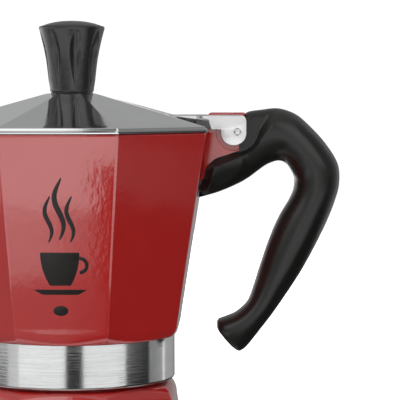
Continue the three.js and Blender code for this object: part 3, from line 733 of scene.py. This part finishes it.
def lid():
    flank_outline, wedge_outline = bridge_outlines()
    # The bridge's flanks take finish 2, the near-black painted shade
    flank = shifted(tapered(curve_plate([flank_outline], EAR_OUTSIDE - 1.0, 0.3), 177, 172.5, 2.4), finish=2)
    wedge = curve_plate([wedge_outline], EAR_OUTSIDE - 0.25, 0.35)
    middle = (EAR_INSIDE + EAR_OUTSIDE) / 2
    half = (EAR_OUTSIDE - EAR_INSIDE) / 2
    ear = curve_plate([ear_outline(), circle(PIN_RADIUS + 0.02, PIN_X, PIN_Z)], half, 0.28)
    root_corners = [(51, 175.8), (57.0, 174.6), (56.4, HINGE_TOP_Z - 0.1), (51, HINGE_TOP_Z - 0.1)]
    root = curve_plate([rounded(root_corners, 0.3)], half, 0.28)
    web_corners = [(51, 172.6), (57.4, 171.7), (56.4, 175.2), (51, 176.2)]
    web_half = (EAR_OUTSIDE - 0.9 - EAR_INSIDE) / 2
    web = curve_plate([rounded(web_corners, 0.2)], web_half, 0.15)
    parts = [lid_shell(), flank, wedge]
    for side in (-1, 1):
        # The webs between the ears take finish 2 too, the same painted shade
        parts += [shifted(ear, (0, side * middle, 0), 1), shifted(root, (0, side * middle, 0), 0),
                  shifted(web, (0, side * (EAR_INSIDE + web_half), 0), 2)]
    piece = mesh("lid_cover", parts, [POLISHED, EAR_METAL, SHADE_PAINTED_CAST], "lid_group", ["lid"])
    sweep = curve_plate([circle(LUG_REACH, PIN_X, PIN_Z, 96)], EAR_INSIDE, 0.02)
    subtract(piece, sweep, crossing=True)


def hinge_pin():
    head = EAR_OUTSIDE + 0.15
    rows = [(0, -head), (PIN_RADIUS, -head), (PIN_RADIUS, head), (0, head)]
    across = Matrix.Translation((PIN_X * MM, 0, PIN_Z * MM)) @ Matrix.Rotation(math.pi / 2, 4, "X")
    lathe("hinge_rivet", rows, 0.3, 48, STEEL, "upper", "hinge_pin", move=across)


KNOB_PROFILE = [  # radius, z of the smooth cone between the flutes
    (8.35, 186.7), (8.75, 186.85), (8.95, 187.2), (8.95, 187.9), (9.05, 188.6), (9.5, 191.2), (9.75, 193.6),
    (10.15, 197.0), (10.6, 200.2), (11.2, 203.4), (11.85, 206.4), (12.5, 209.2), (13.1, 211.4),
    (13.4, 212.4), (13.45, 212.9), (13.2, 213.35), (12.8, 213.5), (12.4, 213.4), (12.15, 213.45),
    (11.9, 213.75), (9.4, 214.6), (7.0, 215.15), (4.2, 215.55), (1.6, 215.68), (0, 215.7)]
FLUTE_LOW, FLUTE_HIGH = 189.2, 211.9
FLUTE_HALF = math.radians(12.5)
FLUTE_DEPTH = 1.6
FLUTE_PHASE = math.radians(13.9)  # of the first flute's middle, off -Y towards +X


def knob():
    rows = np.array(KNOB_PROFILE)
    fluted = np.linspace(FLUTE_LOW, FLUTE_HIGH, 46)
    fluted_radii = np.interp(fluted, rows[4:14, 1], rows[4:14, 0])
    heights = np.concatenate([rows[:5, 1], fluted, rows[13:, 1]])
    radii = np.concatenate([rows[:5, 0], fluted_radii, rows[13:, 0]])
    around = KNOB_FLUTES * 40
    angles = np.arange(around) * TURN / around
    step = TURN / KNOB_FLUTES
    off = angles + math.pi / 2 - FLUTE_PHASE
    off = np.abs(off - step * np.round(off / step))
    rings = []
    for z, radius in zip(heights, radii):
        share = np.clip((z - FLUTE_LOW) / (FLUTE_HIGH - FLUTE_LOW), 0, 1)
        lens = math.sin(math.pi * share ** 1.25) ** 0.62 if 0 < share < 1 else 0
        half = max(FLUTE_HALF * lens, 1e-4)
        scoop = np.clip(1 - (off / half) ** 2, 0, 1) * FLUTE_DEPTH * lens ** 1.5
        rings.append(level_ring(np.maximum(radius - scoop, 1e-3), angles, z))
    mesh("knob_grip", [loft(rings)], [KNOB_PLASTIC], "lid_group", ["lid_knob"], sharp=28)


def knob_fittings():
    washer = [(2.3, 186.35), (8.5, 186.35), (8.5, 186.7), (2.3, 186.7)]
    lathe("knob_seat_washer", washer, 0.1, 64, FIBRE, "lid_group", "knob_washer")
    seat = LID_TOP_Z - 2.7
    screw = [(0, seat - 2.4), (4.2, seat - 2.4), (4.2, seat), (2.0, seat), (2.0, 200.2), (0, 200.2)]
    piece = lathe("knob_fixing_screw", screw, 0.4, 48, STEEL, "lid_group", "knob_screw")
    slot = curve_plate([[(-5, seat - 3), (5, seat - 3), (5, seat - 1.4), (-5, seat - 1.4)]], 0.5, 0.01)
    subtract(piece, slot)
    bush = [(2.2, 188.9), (4.0, 188.9), (4.0, 200.6), (2.2, 200.6)]
    lathe("knob_bush", bush, 0.2, 48, BRASS, "lid_group", "knob_insert")


# ---- Handle ----
HANDLE_PIN_X, HANDLE_PIN_Z = 61.5, 154.5
HANDLE = [  # outer edge x, z; inner edge x, z; half width; how square; share rounded from the inner edge
    (52.5, 150.7, 51.8, 143.9, 9.2, 2.0, 0.9),
    (54.0, 153.6, 53.9, 144.3, 9.3, 2.0, 0.9),
    (56.0, 157.1, 56.6, 145.0, 9.4, 2.0, 0.9),
    (59.0, 159.8, 60.1, 146.1, 9.5, 2.0, 0.9),
    (63.8, 161.4, 64.6, 147.9, 9.7, 2.0, 0.88),
    (68.3, 162.9, 68.6, 149.8, 9.8, 2.0, 0.86),
    (68.9, 166.0, 70.6, 150.9, 9.9, 2.0, 0.82),
    (70.2, 175.0, 72.2, 151.9, 9.9, 2.1, 0.76),
    (71.3, 178.4, 73.6, 152.9, 10.0, 2.1, 0.70),
    (77.6, 179.6, 76.2, 154.9, 10.1, 2.1, 0.66),
    (84.5, 180.1, 79.9, 157.4, 10.3, 2.05, 0.60),
    (91.4, 177.7, 84.2, 158.8, 10.4, 2.0, 0.55),
    (97.1, 172.9, 87.4, 157.7, 10.5, 2.0, 0.5),
    (103.2, 166.2, 89.6, 154.6, 10.5, 1.95, 0.5),
    (108.4, 157.8, 90.7, 151.3, 10.5, 1.95, 0.5),
    (109.1, 149.6, 90.4, 147.4, 10.4, 1.95, 0.5),
    (107.2, 142.0, 88.6, 143.0, 10.2, 1.95, 0.5),
    (103.9, 133.7, 84.6, 136.2, 10.0, 1.95, 0.5),
    (99.3, 123.9, 80.5, 127.0, 9.8, 1.95, 0.5),
    (93.3, 113.0, 77.0, 116.9, 9.6, 1.95, 0.5),
    (87.6, 104.2, 74.2, 108.0, 9.6, 1.95, 0.5),
    (81.9, 96.0, 71.6, 101.4, 9.8, 2.2, 0.5),
    (77.6, 90.4, 66.9, 96.9, 10.0, 2.3, 0.5),
    (74.4, 86.3, 62.4, 94.9, 10.1, 2.4, 0.5),
    (71.6, 82.9, 59.7, 93.8, 10.0, 2.4, 0.5),
    (69.3, 81.1, 59.1, 92.0, 9.6, 2.4, 0.5),
    (68.0, 81.1, 59.3, 90.6, 8.8, 2.4, 0.5),
    (66.7, 82.0, 60.3, 89.0, 7.0, 2.2, 0.5),
    (65.6, 83.1, 61.2, 87.8, 4.4, 2.0, 0.5),
]
LUG_STATIONS = 8  # rows above whose outer edge lies against the lug
CREST_LEFT = ((55.3, 144.9), (58.3, 155.9))
CREST_BELOW = ((58.3, 156.2), (72.5, 161.3))
CREST_RIGHT = [((71.6, 160.6), (79.3, 169.0)), ((78.8, 168.2), (83.6, 177.0))]
EAR_SWING, SWING_EASE = 7.7, 2.0  # radius the ears' corners need about the pin, and the ease outside
CREST_SLOPE = 3.7  # width of the slope from the crest down to the lug's sides
CREST_SOFTNESS = 0.8
WALL_THINNING, WALL_THINNING_WIDTH = 3.6, 3.4  # towards the body's wall
WEB_ROUNDING = 3.0  # of the recess floor's upper edge
RECESS_END_X = 86


def smooth_rows(rows, per_span):
    """Catmull-Rom curve through rows of numbers."""
    rows = np.array(rows, float)
    padded = np.vstack([2 * rows[0] - rows[1], rows, 2 * rows[-1] - rows[-2]])
    out = []
    for i in range(1, len(padded) - 2):
        p0, p1, p2, p3 = padded[i - 1:i + 3]
        for t in np.arange(per_span) / per_span:
            out.append(0.5 * (2 * p1 + (p2 - p0) * t + (2 * p0 - 5 * p1 + 4 * p2 - p3) * t ** 2
                              + (3 * p1 - p0 - 3 * p2 + p3) * t ** 3))
    return np.array(out + [rows[-1]])


def outside(x, z, line):
    """Distance to the right of a line, seen along it."""
    (x0, z0), (x1, z1) = line
    return ((x - x0) * (z1 - z0) - (z - z0) * (x1 - x0)) / math.hypot(x1 - x0, z1 - z0)


def recess_half(x, z, full, from_top):
    """Half thickness of the handle, which drops round the lug to clear the ears' swing and thins a
    little towards the body's wall."""
    crests = [outside(x, z, line) / CREST_SOFTNESS for line in [CREST_BELOW, *CREST_RIGHT]]
    depth = CREST_SOFTNESS * math.log(sum(math.exp(crest) for crest in crests))
    from_swing = math.hypot(x - PIN_X, z - PIN_Z) - EAR_SWING
    share = min(max(1 + depth / CREST_SLOPE, 0), 1) * min(max(from_swing / SWING_EASE, 0), 1)
    share = share * share * (2 - share)
    full -= WALL_THINNING * min(max(-outside(x, z, CREST_LEFT) / WALL_THINNING_WIDTH, 0), 1)
    edge = min(from_top / WEB_ROUNDING, 1)
    web = LUG_HALF * math.sqrt(max(1 - (1 - edge) ** 2, 0))
    return web + (full - web) * share if web < full else full


def section_half(station, u, against_lug):
    """Half thickness across a station at u, from -1 at the inner edge to 1 at the outer one."""
    outer_x, outer_z, inner_x, inner_z, half, square, inner_reach = station
    span = math.hypot(outer_x - inner_x, outer_z - inner_z)
    x = inner_x + (outer_x - inner_x) * (u + 1) / 2
    z = inner_z + (outer_z - inner_z) * (u + 1) / 2
    from_inner, from_outer = (1 + u) * span / 2, (1 - u) * span / 2
    inner = min(from_inner / (inner_reach * span), 1)
    outer = 1 if against_lug else min(from_outer / ((1 - inner_reach) * span), 1)
    full = half * (1 - (1 - min(inner, outer)) ** square) ** (1 / square)
    if x < RECESS_END_X:
        full = recess_half(x, z, full, math.inf if against_lug else from_outer)
    return x, z, full


def handle():
    steps = 8
    stations = smooth_rows(HANDLE, steps)
    across = np.sin(np.linspace(-math.pi / 2, math.pi / 2, 61))
    rings = []
    for i, station in enumerate(stations):
        against_lug = i < (LUG_STATIONS - 0.5) * steps
        near, far = [], []
        for u in across:
            x, z, y = section_half(station, u, against_lug)
            near.append((x, -y, z))
            far.append((x, y, z))
        rings.append(near + far[::-1])
    piece = mesh("handle_grip", [loft(rings)], [PLASTIC], "upper", ["handle"], sharp=50)
    cutters = [shifted(curve_plate([circle(1.8, HANDLE_PIN_X, HANDLE_PIN_Z)], 6, 0.02), (0, 10, 0))]
    for side in (-1, 1):
        nick = curve_plate([[(72.6, 175.3), (73.4, 175.3), (73.5, 180.5), (72.7, 180.5)]], 3, 0.02)
        cutters.append(shifted(nick, (0, side * 7.4, 0)))
    subtract(piece, joined(cutters))


def handle_pin():
    rows = [(0, -5.5), (1.6, -5.5), (1.6, 8.2), (0, 8.2)]
    place = Matrix.Translation((HANDLE_PIN_X * MM, 0, HANDLE_PIN_Z * MM))
    across = place @ Matrix.Rotation(-math.pi / 2, 4, "X")
    lathe("handle_cross_pin", rows, 0.4, 40, STEEL, "upper", "handle_pin", move=across)


# ---- Boiler and what it holds ----
def boiler():
    angles = octagon_angles()
    bare, red = 1, 0
    rows = []

    def add(corner, z, roundness=0.0, finish=red, fillet=2.2):
        rows.append((corner, z, roundness, finish, fillet))

    add(0.01, 0, 1, bare)
    add(30, 0, 1, bare)
    add(BASE_CORNER - 2.4, 0)
    for out, up in eased(6):
        add(BASE_CORNER - 1.6 * (1 - out), 1.8 * up)
    for z in (6, 14, 26, 40, 52, 59):
        add(boiler_corner(z), z)
    shoulder = boiler_corner(SHOULDER_Z - 3)
    for out, up in reversed(eased(10)):
        share = 1 - out
        corner = NECK_RADIUS + 1.6 + (shoulder - NECK_RADIUS - 1.6) * out
        z = SHOULDER_Z - 3 + (NECK_FOOT_Z + 0.2 - SHOULDER_Z + 3) * (1 - up)
        add(corner, z, share ** 1.1, red, 3.0)
    add(NECK_RADIUS + 0.5, NECK_FOOT_Z + 0.3, 1, red)
    neck = [(NECK_RADIUS, NECK_FOOT_Z + 0.6), (NECK_RADIUS, NECK_TOP_Z - 0.5),
            (NECK_RADIUS - 0.5, NECK_TOP_Z), (NECK_BORE + 0.4, NECK_TOP_Z),
            (NECK_BORE, NECK_TOP_Z - 0.4), (NECK_BORE, NECK_FOOT_Z - 2)]
    for radius, z in neck:
        add(radius, z, 1, bare)
    wall = BOILER_WALL / math.cos(EIGHTH / 2)
    add(NECK_BORE + 2, SHOULDER_Z - 1.5, 0.8, bare)
    add(SHOULDER_CORNER - wall - 0.2, SHOULDER_Z - 6, 0, bare)
    add(BASE_CORNER - wall - 0.6, BOILER_WALL + 3, 0, bare)
    add(BASE_CORNER - wall - 3, BOILER_WALL, 0, bare)
    add(0.01, BOILER_WALL, 1, bare)
    rings = [octagon_ring(angles, corner, z, roundness, fillet) for corner, z, roundness, _, fillet in rows]
    finish = [row[3] for row in rows]
    thread = thread_ridge(NECK_RADIUS - 0.3, NECK_RADIUS + THREAD_DEPTH, NECK_FOOT_Z + 3.2, NECK_TOP_Z - 1.8,
                          1.2, 0.5)
    piece = mesh("boiler_body", [loft(rings, finish=finish), shifted(thread, finish=1)], [ENAMEL, TURNED],
                 "base", ["boiler"])
    hole = turned([(0, -12), (5.3, -12), (5.3, 4), (0, 4)], 48)
    subtract(piece, moved_to_valve(hole))


PLAIN_MARGIN = 3.2  # ring without holes at a screen's edge


def perforated(radius, z, thickness, hole, pitch):
    """Level disc with holes on a triangular grid."""
    outlines = [circle(radius, count=96)]
    rows = int(radius / (pitch * 0.866)) + 1
    for j in range(-rows, rows + 1):
        for i in range(-rows, rows + 1):
            x, y = (i + 0.5 * (j % 2)) * pitch, j * pitch * 0.866
            if math.hypot(x, y) < radius - PLAIN_MARGIN:
                outlines.append(circle(hole, x, y, 10))
    return flat_lying(curve_plate(outlines, thickness / 2, 0.06), z + thickness / 2)


def funnel():
    rim = GASKET_RADIUS - 0.7
    top = NECK_TOP_Z + 0.3
    rows = [(33.3, top), (rim, top), (rim, top + 1), (32.7, top + 1), (32.2, top + 0.5), (32.2, 63.2),
            (30.6, 63.2), (30.6, 61.2), (5.3, 56.2), (5.3, 51), (6.2, 51), (6.2, 54.9), (31.7, 60.2),
            (33.3, 62.4), (33.3, 75)]
    lathe("funnel_basket", rows, 0.35, 96, CAST, "base", "funnel", steps=3)
    stem = [(4.1, 30), (4.1, 8), (5.0, 8), (5.0, 56.9), (7.0, 56.9), (7.0, 57.6), (4.1, 57.6), (4.1, 40)]
    lathe("funnel_tube", stem, 0.25, 48, CAST, "base", "funnel_stem", steps=3)
    mesh("basket_screen", [perforated(31.9, 63.5, 0.8, 0.75, 3.4)], [CAST], "base", ["funnel_screen"])


def seal():
    bottom = NECK_TOP_Z + 1.6
    rows = [(GASKET_BORE, 85), (GASKET_BORE, bottom), (GASKET_RADIUS, bottom), (GASKET_RADIUS, GASKET_TOP_Z),
            (GASKET_BORE, GASKET_TOP_Z), (GASKET_BORE, 86)]
    lathe("seal_ring", rows, 0.5, 96, RUBBER, "seal", "gasket")
    plate = perforated(PLATE_RADIUS, GASKET_TOP_Z + GAP, PLATE_THICKNESS, 0.7, 3.2)
    mesh("seal_filter_plate", [plate], [CAST], "seal", ["filter_plate"])


# ---- Safety valve ----
def valve_matrix():
    """From the valve's own frame, +Z out of the facet, to the pot's, in millimetres."""
    lean = math.atan((apothem(BASE_CORNER) - apothem(SHOULDER_CORNER)) / SHOULDER_Z)
    level = Vector((math.cos(VALVE_ANGLE), math.sin(VALVE_ANGLE), 0))
    outward = level * math.cos(lean) + Vector((0, 0, math.sin(lean)))
    turn = Vector((0, 0, 1)).rotation_difference(outward).to_matrix().to_4x4()
    place = level * apothem(boiler_corner(VALVE_Z)) + Vector((0, 0, VALVE_Z))
    return Matrix.Translation(place) @ turn


def moved_to_valve(part):
    points, faces, slots = part
    matrix = valve_matrix()
    return [tuple(matrix @ Vector(p)) for p in points], faces, slots


def hex_head():
    """Hexagon with chamfered ends and a bore."""
    across, low, high = 8.1, 1.6, 8.0
    rings = []
    angles = np.arange(96) * TURN / 96
    bore = [(3.6, high), (3.4, 7.8), (3.4, -4.5), (1.6, -4.5), (1.6, -6.5), (4.6, -6.5), (5, -6.1), (5, low)]
    sixth = TURN / 6
    flat = across * math.cos(sixth / 2) / np.cos(angles - sixth * np.round(angles / sixth))
    for z, limit in ((low, 7.2), (low + 0.5, across), (high - 0.7, across), (high, 7.0)):
        rings.append(level_ring(np.minimum(flat, limit), angles, z))
    rings += [level_ring(radius, angles, z) for radius, z in bore]
    return loft(rings, closed=True)


def spring():
    """Coil between the plunger's head and the cap."""
    wire, coil, turns = 0.3, 2.2, 6
    z0, z1 = -2.2 + 0.6, 6.6 - 0.6
    steps = turns * 32
    rings = []
    for i in range(steps + 1):
        share = i / steps
        angle = TURN * turns * share
        ring = []
        for k in range(10):
            r = coil + wire * math.cos(TURN * k / 10)
            ring.append((r * math.cos(angle), r * math.sin(angle),
                         z0 + (z1 - z0) * share + wire * math.sin(TURN * k / 10)))
        rings.append(ring)
    return loft(rings)


SPRING_ENDS = (5.6, -1.4)  # heights on the valve's axis at the coil's cap end and at its plunger end


def valve():
    def place(name, part, material, body, node, slot):
        return mesh(name, [moved_to_valve(part)], [material], body, [node])

    place("valve_hex", hex_head(), BRASS, "base", "valve_body", "valve_brass")
    washer = [(5.3, 0.8), (5.3, 0.3), (8.0, 0.3), (8.0, 1.3), (5.3, 1.3), (5.3, 1.0)]
    place("valve_seal", turned(softened(washer, 0.2), 64), RUBBER, "base", "valve_washer", "seal_rubber")
    stem = [(0, -4.2), (2.4, -4.2), (3.0, -3.6), (3.0, -2.2), (1.1, -2.2), (1.1, 10), (0.6, 10.5), (0, 10.5)]
    place("valve_stem", turned(softened(stem, 0.3), 48), STEEL, "plunger", "valve_plunger", "bright_steel")
    coil = place("valve_coil", spring(), STEEL, None, "valve_spring", "bright_steel")
    cap_end, head_end = [valve_matrix() @ Vector((0, 0, z)) * MM for z in SPRING_ENDS]
    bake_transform(coil)
    cap = [(1.5, 8), (1.5, 6.6), (3.1, 6.6), (3.1, 8.3), (5, 8.3), (5, 9), (4.4, 9.6), (1.5, 9.6), (1.5, 9)]
    place("valve_crown", turned(softened(cap, 0.2), 64), BRASS, "base", "valve_cap", "valve_brass")


# ---- Print on the front facet ----
def ribbon(points, widths):
    """Outline of a stroke that follows points, with a width at each."""
    points = np.array(points, float)
    ahead = np.gradient(points, axis=0)
    ahead /= np.linalg.norm(ahead, axis=1)[:, None]
    side = np.stack([-ahead[:, 1], ahead[:, 0]], 1) * np.array(widths)[:, None] / 2
    return [tuple(p) for p in np.vstack([points + side, (points - side)[::-1]])]


def steam(x, z0, z1, swing, width):
    """Wavy stroke that thins at both ends."""
    t = np.linspace(0, 1, 40)
    path = np.stack([x + swing * np.sin(TURN * t * 1.1), z0 + (z1 - z0) * t], 1)
    return ribbon(path, width * np.sin(math.pi * np.clip(t * 0.96 + 0.02, 0, 1)) ** 0.6 + 0.05)


def cup_outlines():
    """A cup on its saucer under three wisps of steam, upright round x = 0, and a bean below."""
    bowl_t = np.linspace(0, 1, 20)
    left = [(-7.6 + 3.6 * t ** 2.2, 125 - 13 * t) for t in bowl_t]
    bowl = left + [(-x, z) for x, z in reversed(left)]
    handle_out = circle(3.5, 7.6, 120, 24, math.pi / 2, -math.pi)
    handle_in = circle(2.1, 7.6, 120, 24, -math.pi / 2, math.pi)
    saucer = rounded([(-10.5, 110.4), (10.5, 110.4), (7, 108.4), (-7, 108.4)], 0.8)
    bean = [(2.9 * math.cos(a), 102 + 2.0 * math.sin(a)) for a in np.linspace(0, TURN, 36)[:-1]]
    return [bowl, handle_out + handle_in, saucer, bean, steam(-4.2, 129, 147, 1.3, 1.7),
            steam(0, 130, 154, 1.7, 2.1), steam(4.2, 129, 147, 1.3, 1.7)]


def facet_print():
    """The cup as a thin film on the front facet."""
    parts = []
    lean = math.atan((apothem(RIM_CORNER) - apothem(BODY_LOW_CORNER)) / (RIM_Z - BODY_LOW_Z))
    for outline in cup_outlines():
        points, faces, slots = curve_plate([outline], 0.04, 0.005)
        laid = []
        for x, y, z in points:
            wall = apothem(body_corner(z))
            laid.append((x, -wall - 0.03 + y * math.cos(lean), z))
        parts.append((laid, faces, slots))
    mesh("facet_print", parts, [INK], "upper", [])


# ---- Studio ----
CAMERA_AZIMUTH = math.radians(5.885)  # off -Y, towards the handle
CAMERA_DISTANCE, CAMERA_Z = 813.2, 190.16
CAMERA_YAW, CAMERA_PITCH = math.radians(3.687), math.radians(3.361)
LENS, SENSOR = 178.5, 36


def around_pot(azimuth, distance, z):
    """Point in metres at an azimuth in degrees from the camera's direction, positive to its right."""
    angle = CAMERA_AZIMUTH + math.radians(azimuth)
    return Vector((math.sin(angle) * distance, -math.cos(angle) * distance, z))


def camera():
    data = bpy.data.cameras.new("camera")
    data.lens = LENS
    data.sensor_width = SENSOR
    data.clip_end = 50
    eye = linked("camera", data)
    bpy.context.scene.camera = eye
    eye.location = around_pot(0, CAMERA_DISTANCE * MM, CAMERA_Z * MM)
    heading = CAMERA_AZIMUTH - CAMERA_YAW
    eye.rotation_euler = (math.pi / 2 - CAMERA_PITCH, 0, heading)


def area(name, azimuth, distance, z, width, height, power, aim=(0, 0, 0.13)):
    """Soft box that lights the pot without being seen by the camera or mirrored."""
    data = bpy.data.lights.new(name, "AREA")
    data.shape = "RECTANGLE"
    data.size, data.size_y = width, height
    data.energy = power
    light = linked(name, data)
    light.location = around_pot(azimuth, distance, z)
    light.rotation_euler = (Vector(aim) - light.location).to_track_quat("-Z", "Y").to_euler()
    light.visible_camera = False
    light.visible_glossy = False


def card(name, azimuths, distances, heights, values):
    """Curved reflector that only shows in the pot's gloss, from one distance and height to another;
    its brightness runs from left to right."""
    steps = 24
    points, faces = [], []
    for i in range(steps + 1):
        azimuth = azimuths[0] + (azimuths[1] - azimuths[0]) * i / steps
        points += [around_pot(azimuth, d, z) for d, z in zip(distances, heights)]
        if i:
            faces.append((2 * i - 2, 2 * i, 2 * i + 1, 2 * i - 1))
    data = bpy.data.meshes.new(name)
    data.from_pydata(points, [], faces)
    shades = data.color_attributes.new("shade", "FLOAT_COLOR", "POINT")
    for i in range(steps + 1):
        value = values[0] + (values[1] - values[0]) * i / steps
        shades.data[2 * i].color = shades.data[2 * i + 1].color = (value, value, value, 1)
    m = Nodes(name)
    shade = m.add("ShaderNodeVertexColor", layer_name="shade").outputs["Color"]
    glow = m.add("ShaderNodeEmission", inputs={"Color": shade})
    m.tree.links.new(glow.outputs[0], m.tree.nodes["Material Output"].inputs["Surface"])
    data.materials.append(m.material)
    sheet = linked(name, data)
    sheet.visible_camera = False
    sheet.visible_diffuse = False
    sheet.visible_shadow = False


def floor():
    data = bpy.data.meshes.new("floor")
    half = 1.75
    corners = [(-half, -half, 0), (half, -half, 0), (half, half, 0), (-half, half, 0)]
    data.from_pydata(corners, [], [(0, 1, 2, 3)])
    m = Nodes("floor_paper")
    grain = m.noise(3.0, detail=2.0)
    m.set(Base_Color=m.blend(grain, (0.86, 0.86, 0.86, 1), (0.9, 0.9, 0.9, 1)), Roughness=0.7)
    data.materials.append(m.material)
    ground = linked("floor", data)


SKY = [  # sine of the elevation, brightness
    (0.0, 1.05), (0.1, 1.05), (0.22, 0.55), (0.38, 0.36), (0.55, 0.34), (1.0, 0.5)]


def world():
    """White sweep round the horizon that darkens towards the zenith."""
    sky = bpy.data.worlds.new("studio")
    bpy.context.scene.world = sky
    sky.use_nodes = True
    tree = sky.node_tree
    coords = tree.nodes.new("ShaderNodeTexCoord")
    split = tree.nodes.new("ShaderNodeSeparateXYZ")
    ramp = tree.nodes.new("ShaderNodeValToRGB")
    tree.links.new(coords.outputs["Generated"], split.inputs[0])
    tree.links.new(split.outputs["Z"], ramp.inputs["Fac"])
    tree.links.new(ramp.outputs["Color"], tree.nodes["Background"].inputs["Color"])
    while len(ramp.color_ramp.elements) < len(SKY):
        ramp.color_ramp.elements.new(0.5)
    for element, (position, value) in zip(ramp.color_ramp.elements, SKY):
        element.position = position
        element.color = (value, value, value, 1)


FAR, NEAR, SIDE, BACK = (0.42, 0.42), (0.30, 0.30), (0.36, 0.36), (0.5, 0.5)  # distances
TALL, LEVEL = (0, 0.62), (0.001, 0.001)  # heights
CARDS = [  # azimuths and distances; then name, heights and brightness from left to right of each
    ((-60, -9.6), FAR, [("card_left", (0, 0.06), (1.3, 1.3)),
     ("flag_left", (0.06, 0.24), (0.08, 0.5)),
     ("card_left_high", (0.24, 0.62), (1.3, 1.3))]),
    ((-9.6, -6.5), FAR, [("card_left_foot", (0, 0.1), (1.3, 1.2)),
     ("gap_left", (0.1, 0.62), (0.1, 0.1))]),
    ((-6.5, -3.5), FAR, [("gap_high", (0.26, 0.62), (0.1, 0.1))]),
    ((-6.5, 10), FAR, [("card_middle_foot", (0, 0.11), (1.2, 1.2)),
     ("card_middle", (0.11, 0.26), (0.85, 0.85))]),
    ((-7.6, 9.7), NEAR, [("flag_low", (0, 0.07), (0.0, 0.0))]),
    ((-3.5, 10), FAR, [("flag_high", (0.26, 0.62), (0.08, 0.08))]),
    ((10, 58), FAR, [("card_right", (0, 0.06), (1.2, 1.2)),
     ("card_right_mid", (0.06, 0.24), (0.8, 0.15)),
     ("card_right_high", (0.24, 0.62), (1.2, 1.2))]),
    ((58, 92), BACK, [("grey_right", (0.008, 0.045), (0.3, 0.0)),
     ("flag_right", (0.045, 0.14), (0.03, 0.06)),
     ("grey_right_high", (0.14, 0.62), (0.2, 0.2))]),
    ((92, 114), SIDE, [("grey_side", TALL, (0.3, 0.45))]),
    ((115, 119), SIDE, [("slit_right", TALL, (1.2, 1.2))]),
    ((119, 147), SIDE, [("grey_back", TALL, (0.5, 0.4))]),
    ((147, 175), SIDE, [("grey_far", (0, 0.2), (0.3, 0.3))]),
    # The level sheets stand in for the floor in the pot's gloss only, as painted floor light: bright further
    # out in front, and darker near the pot, where its shadow falls, and to its side and back
    ((-75, -12), (0.32, 0.42), [("ground_left", LEVEL, (1.0, 0.8))]),
    ((-75, -12), (0.1, 0.32), [("ground_left_near", LEVEL, (0.3, 0.25))]),
    ((-12, -4), (0.32, 0.42), [("ground_middle", LEVEL, (0.6, 0.1))]),
    ((-12, -4), (0.1, 0.32), [("ground_middle_near", LEVEL, (0.25, 0.05))]),
    ((-4, 50), (0.3, 0.42), [("ground_right", LEVEL, (0.8, 0.9))]),
    ((-4, 50), (0.1, 0.3), [("ground_right_near", LEVEL, (0.05, 0.1))]),
    ((-175, -75), (0.1, 0.6), [("ground_far_left", LEVEL, (0.12, 0.2))]),
    ((50, 92), (0.1, 0.6), [("ground_side", LEVEL, (0.0, 0.02))]),
    ((92, 175), (0.1, 0.36), [("ground_back", LEVEL, (0.02, 0.06))]),
]


def studio():
    floor()
    world()
    area("floor_light", 174, 0.85, 1.0, 2.6, 0.6, 66, aim=(0, 2.1, 0))
    area("fill_left", -40, 1.2, 0.6, 1.0, 0.8, 4.6)
    area("fill_right", 30, 1.3, 0.5, 0.7, 0.6, 1.6)
    area("fill_top", -15, 0.7, 1.2, 0.8, 0.8, 6.0)
    for azimuths, distances, cards in CARDS:
        for name, heights, values in cards:
            card(name, azimuths, distances, heights, values)
    camera()
    bpy.context.scene.view_settings.view_transform = "Standard"


collector()
column()
lid()
hinge_pin()
knob()
knob_fittings()
handle()
handle_pin()
boiler()
funnel()
seal()
valve()
facet_print()
studio()
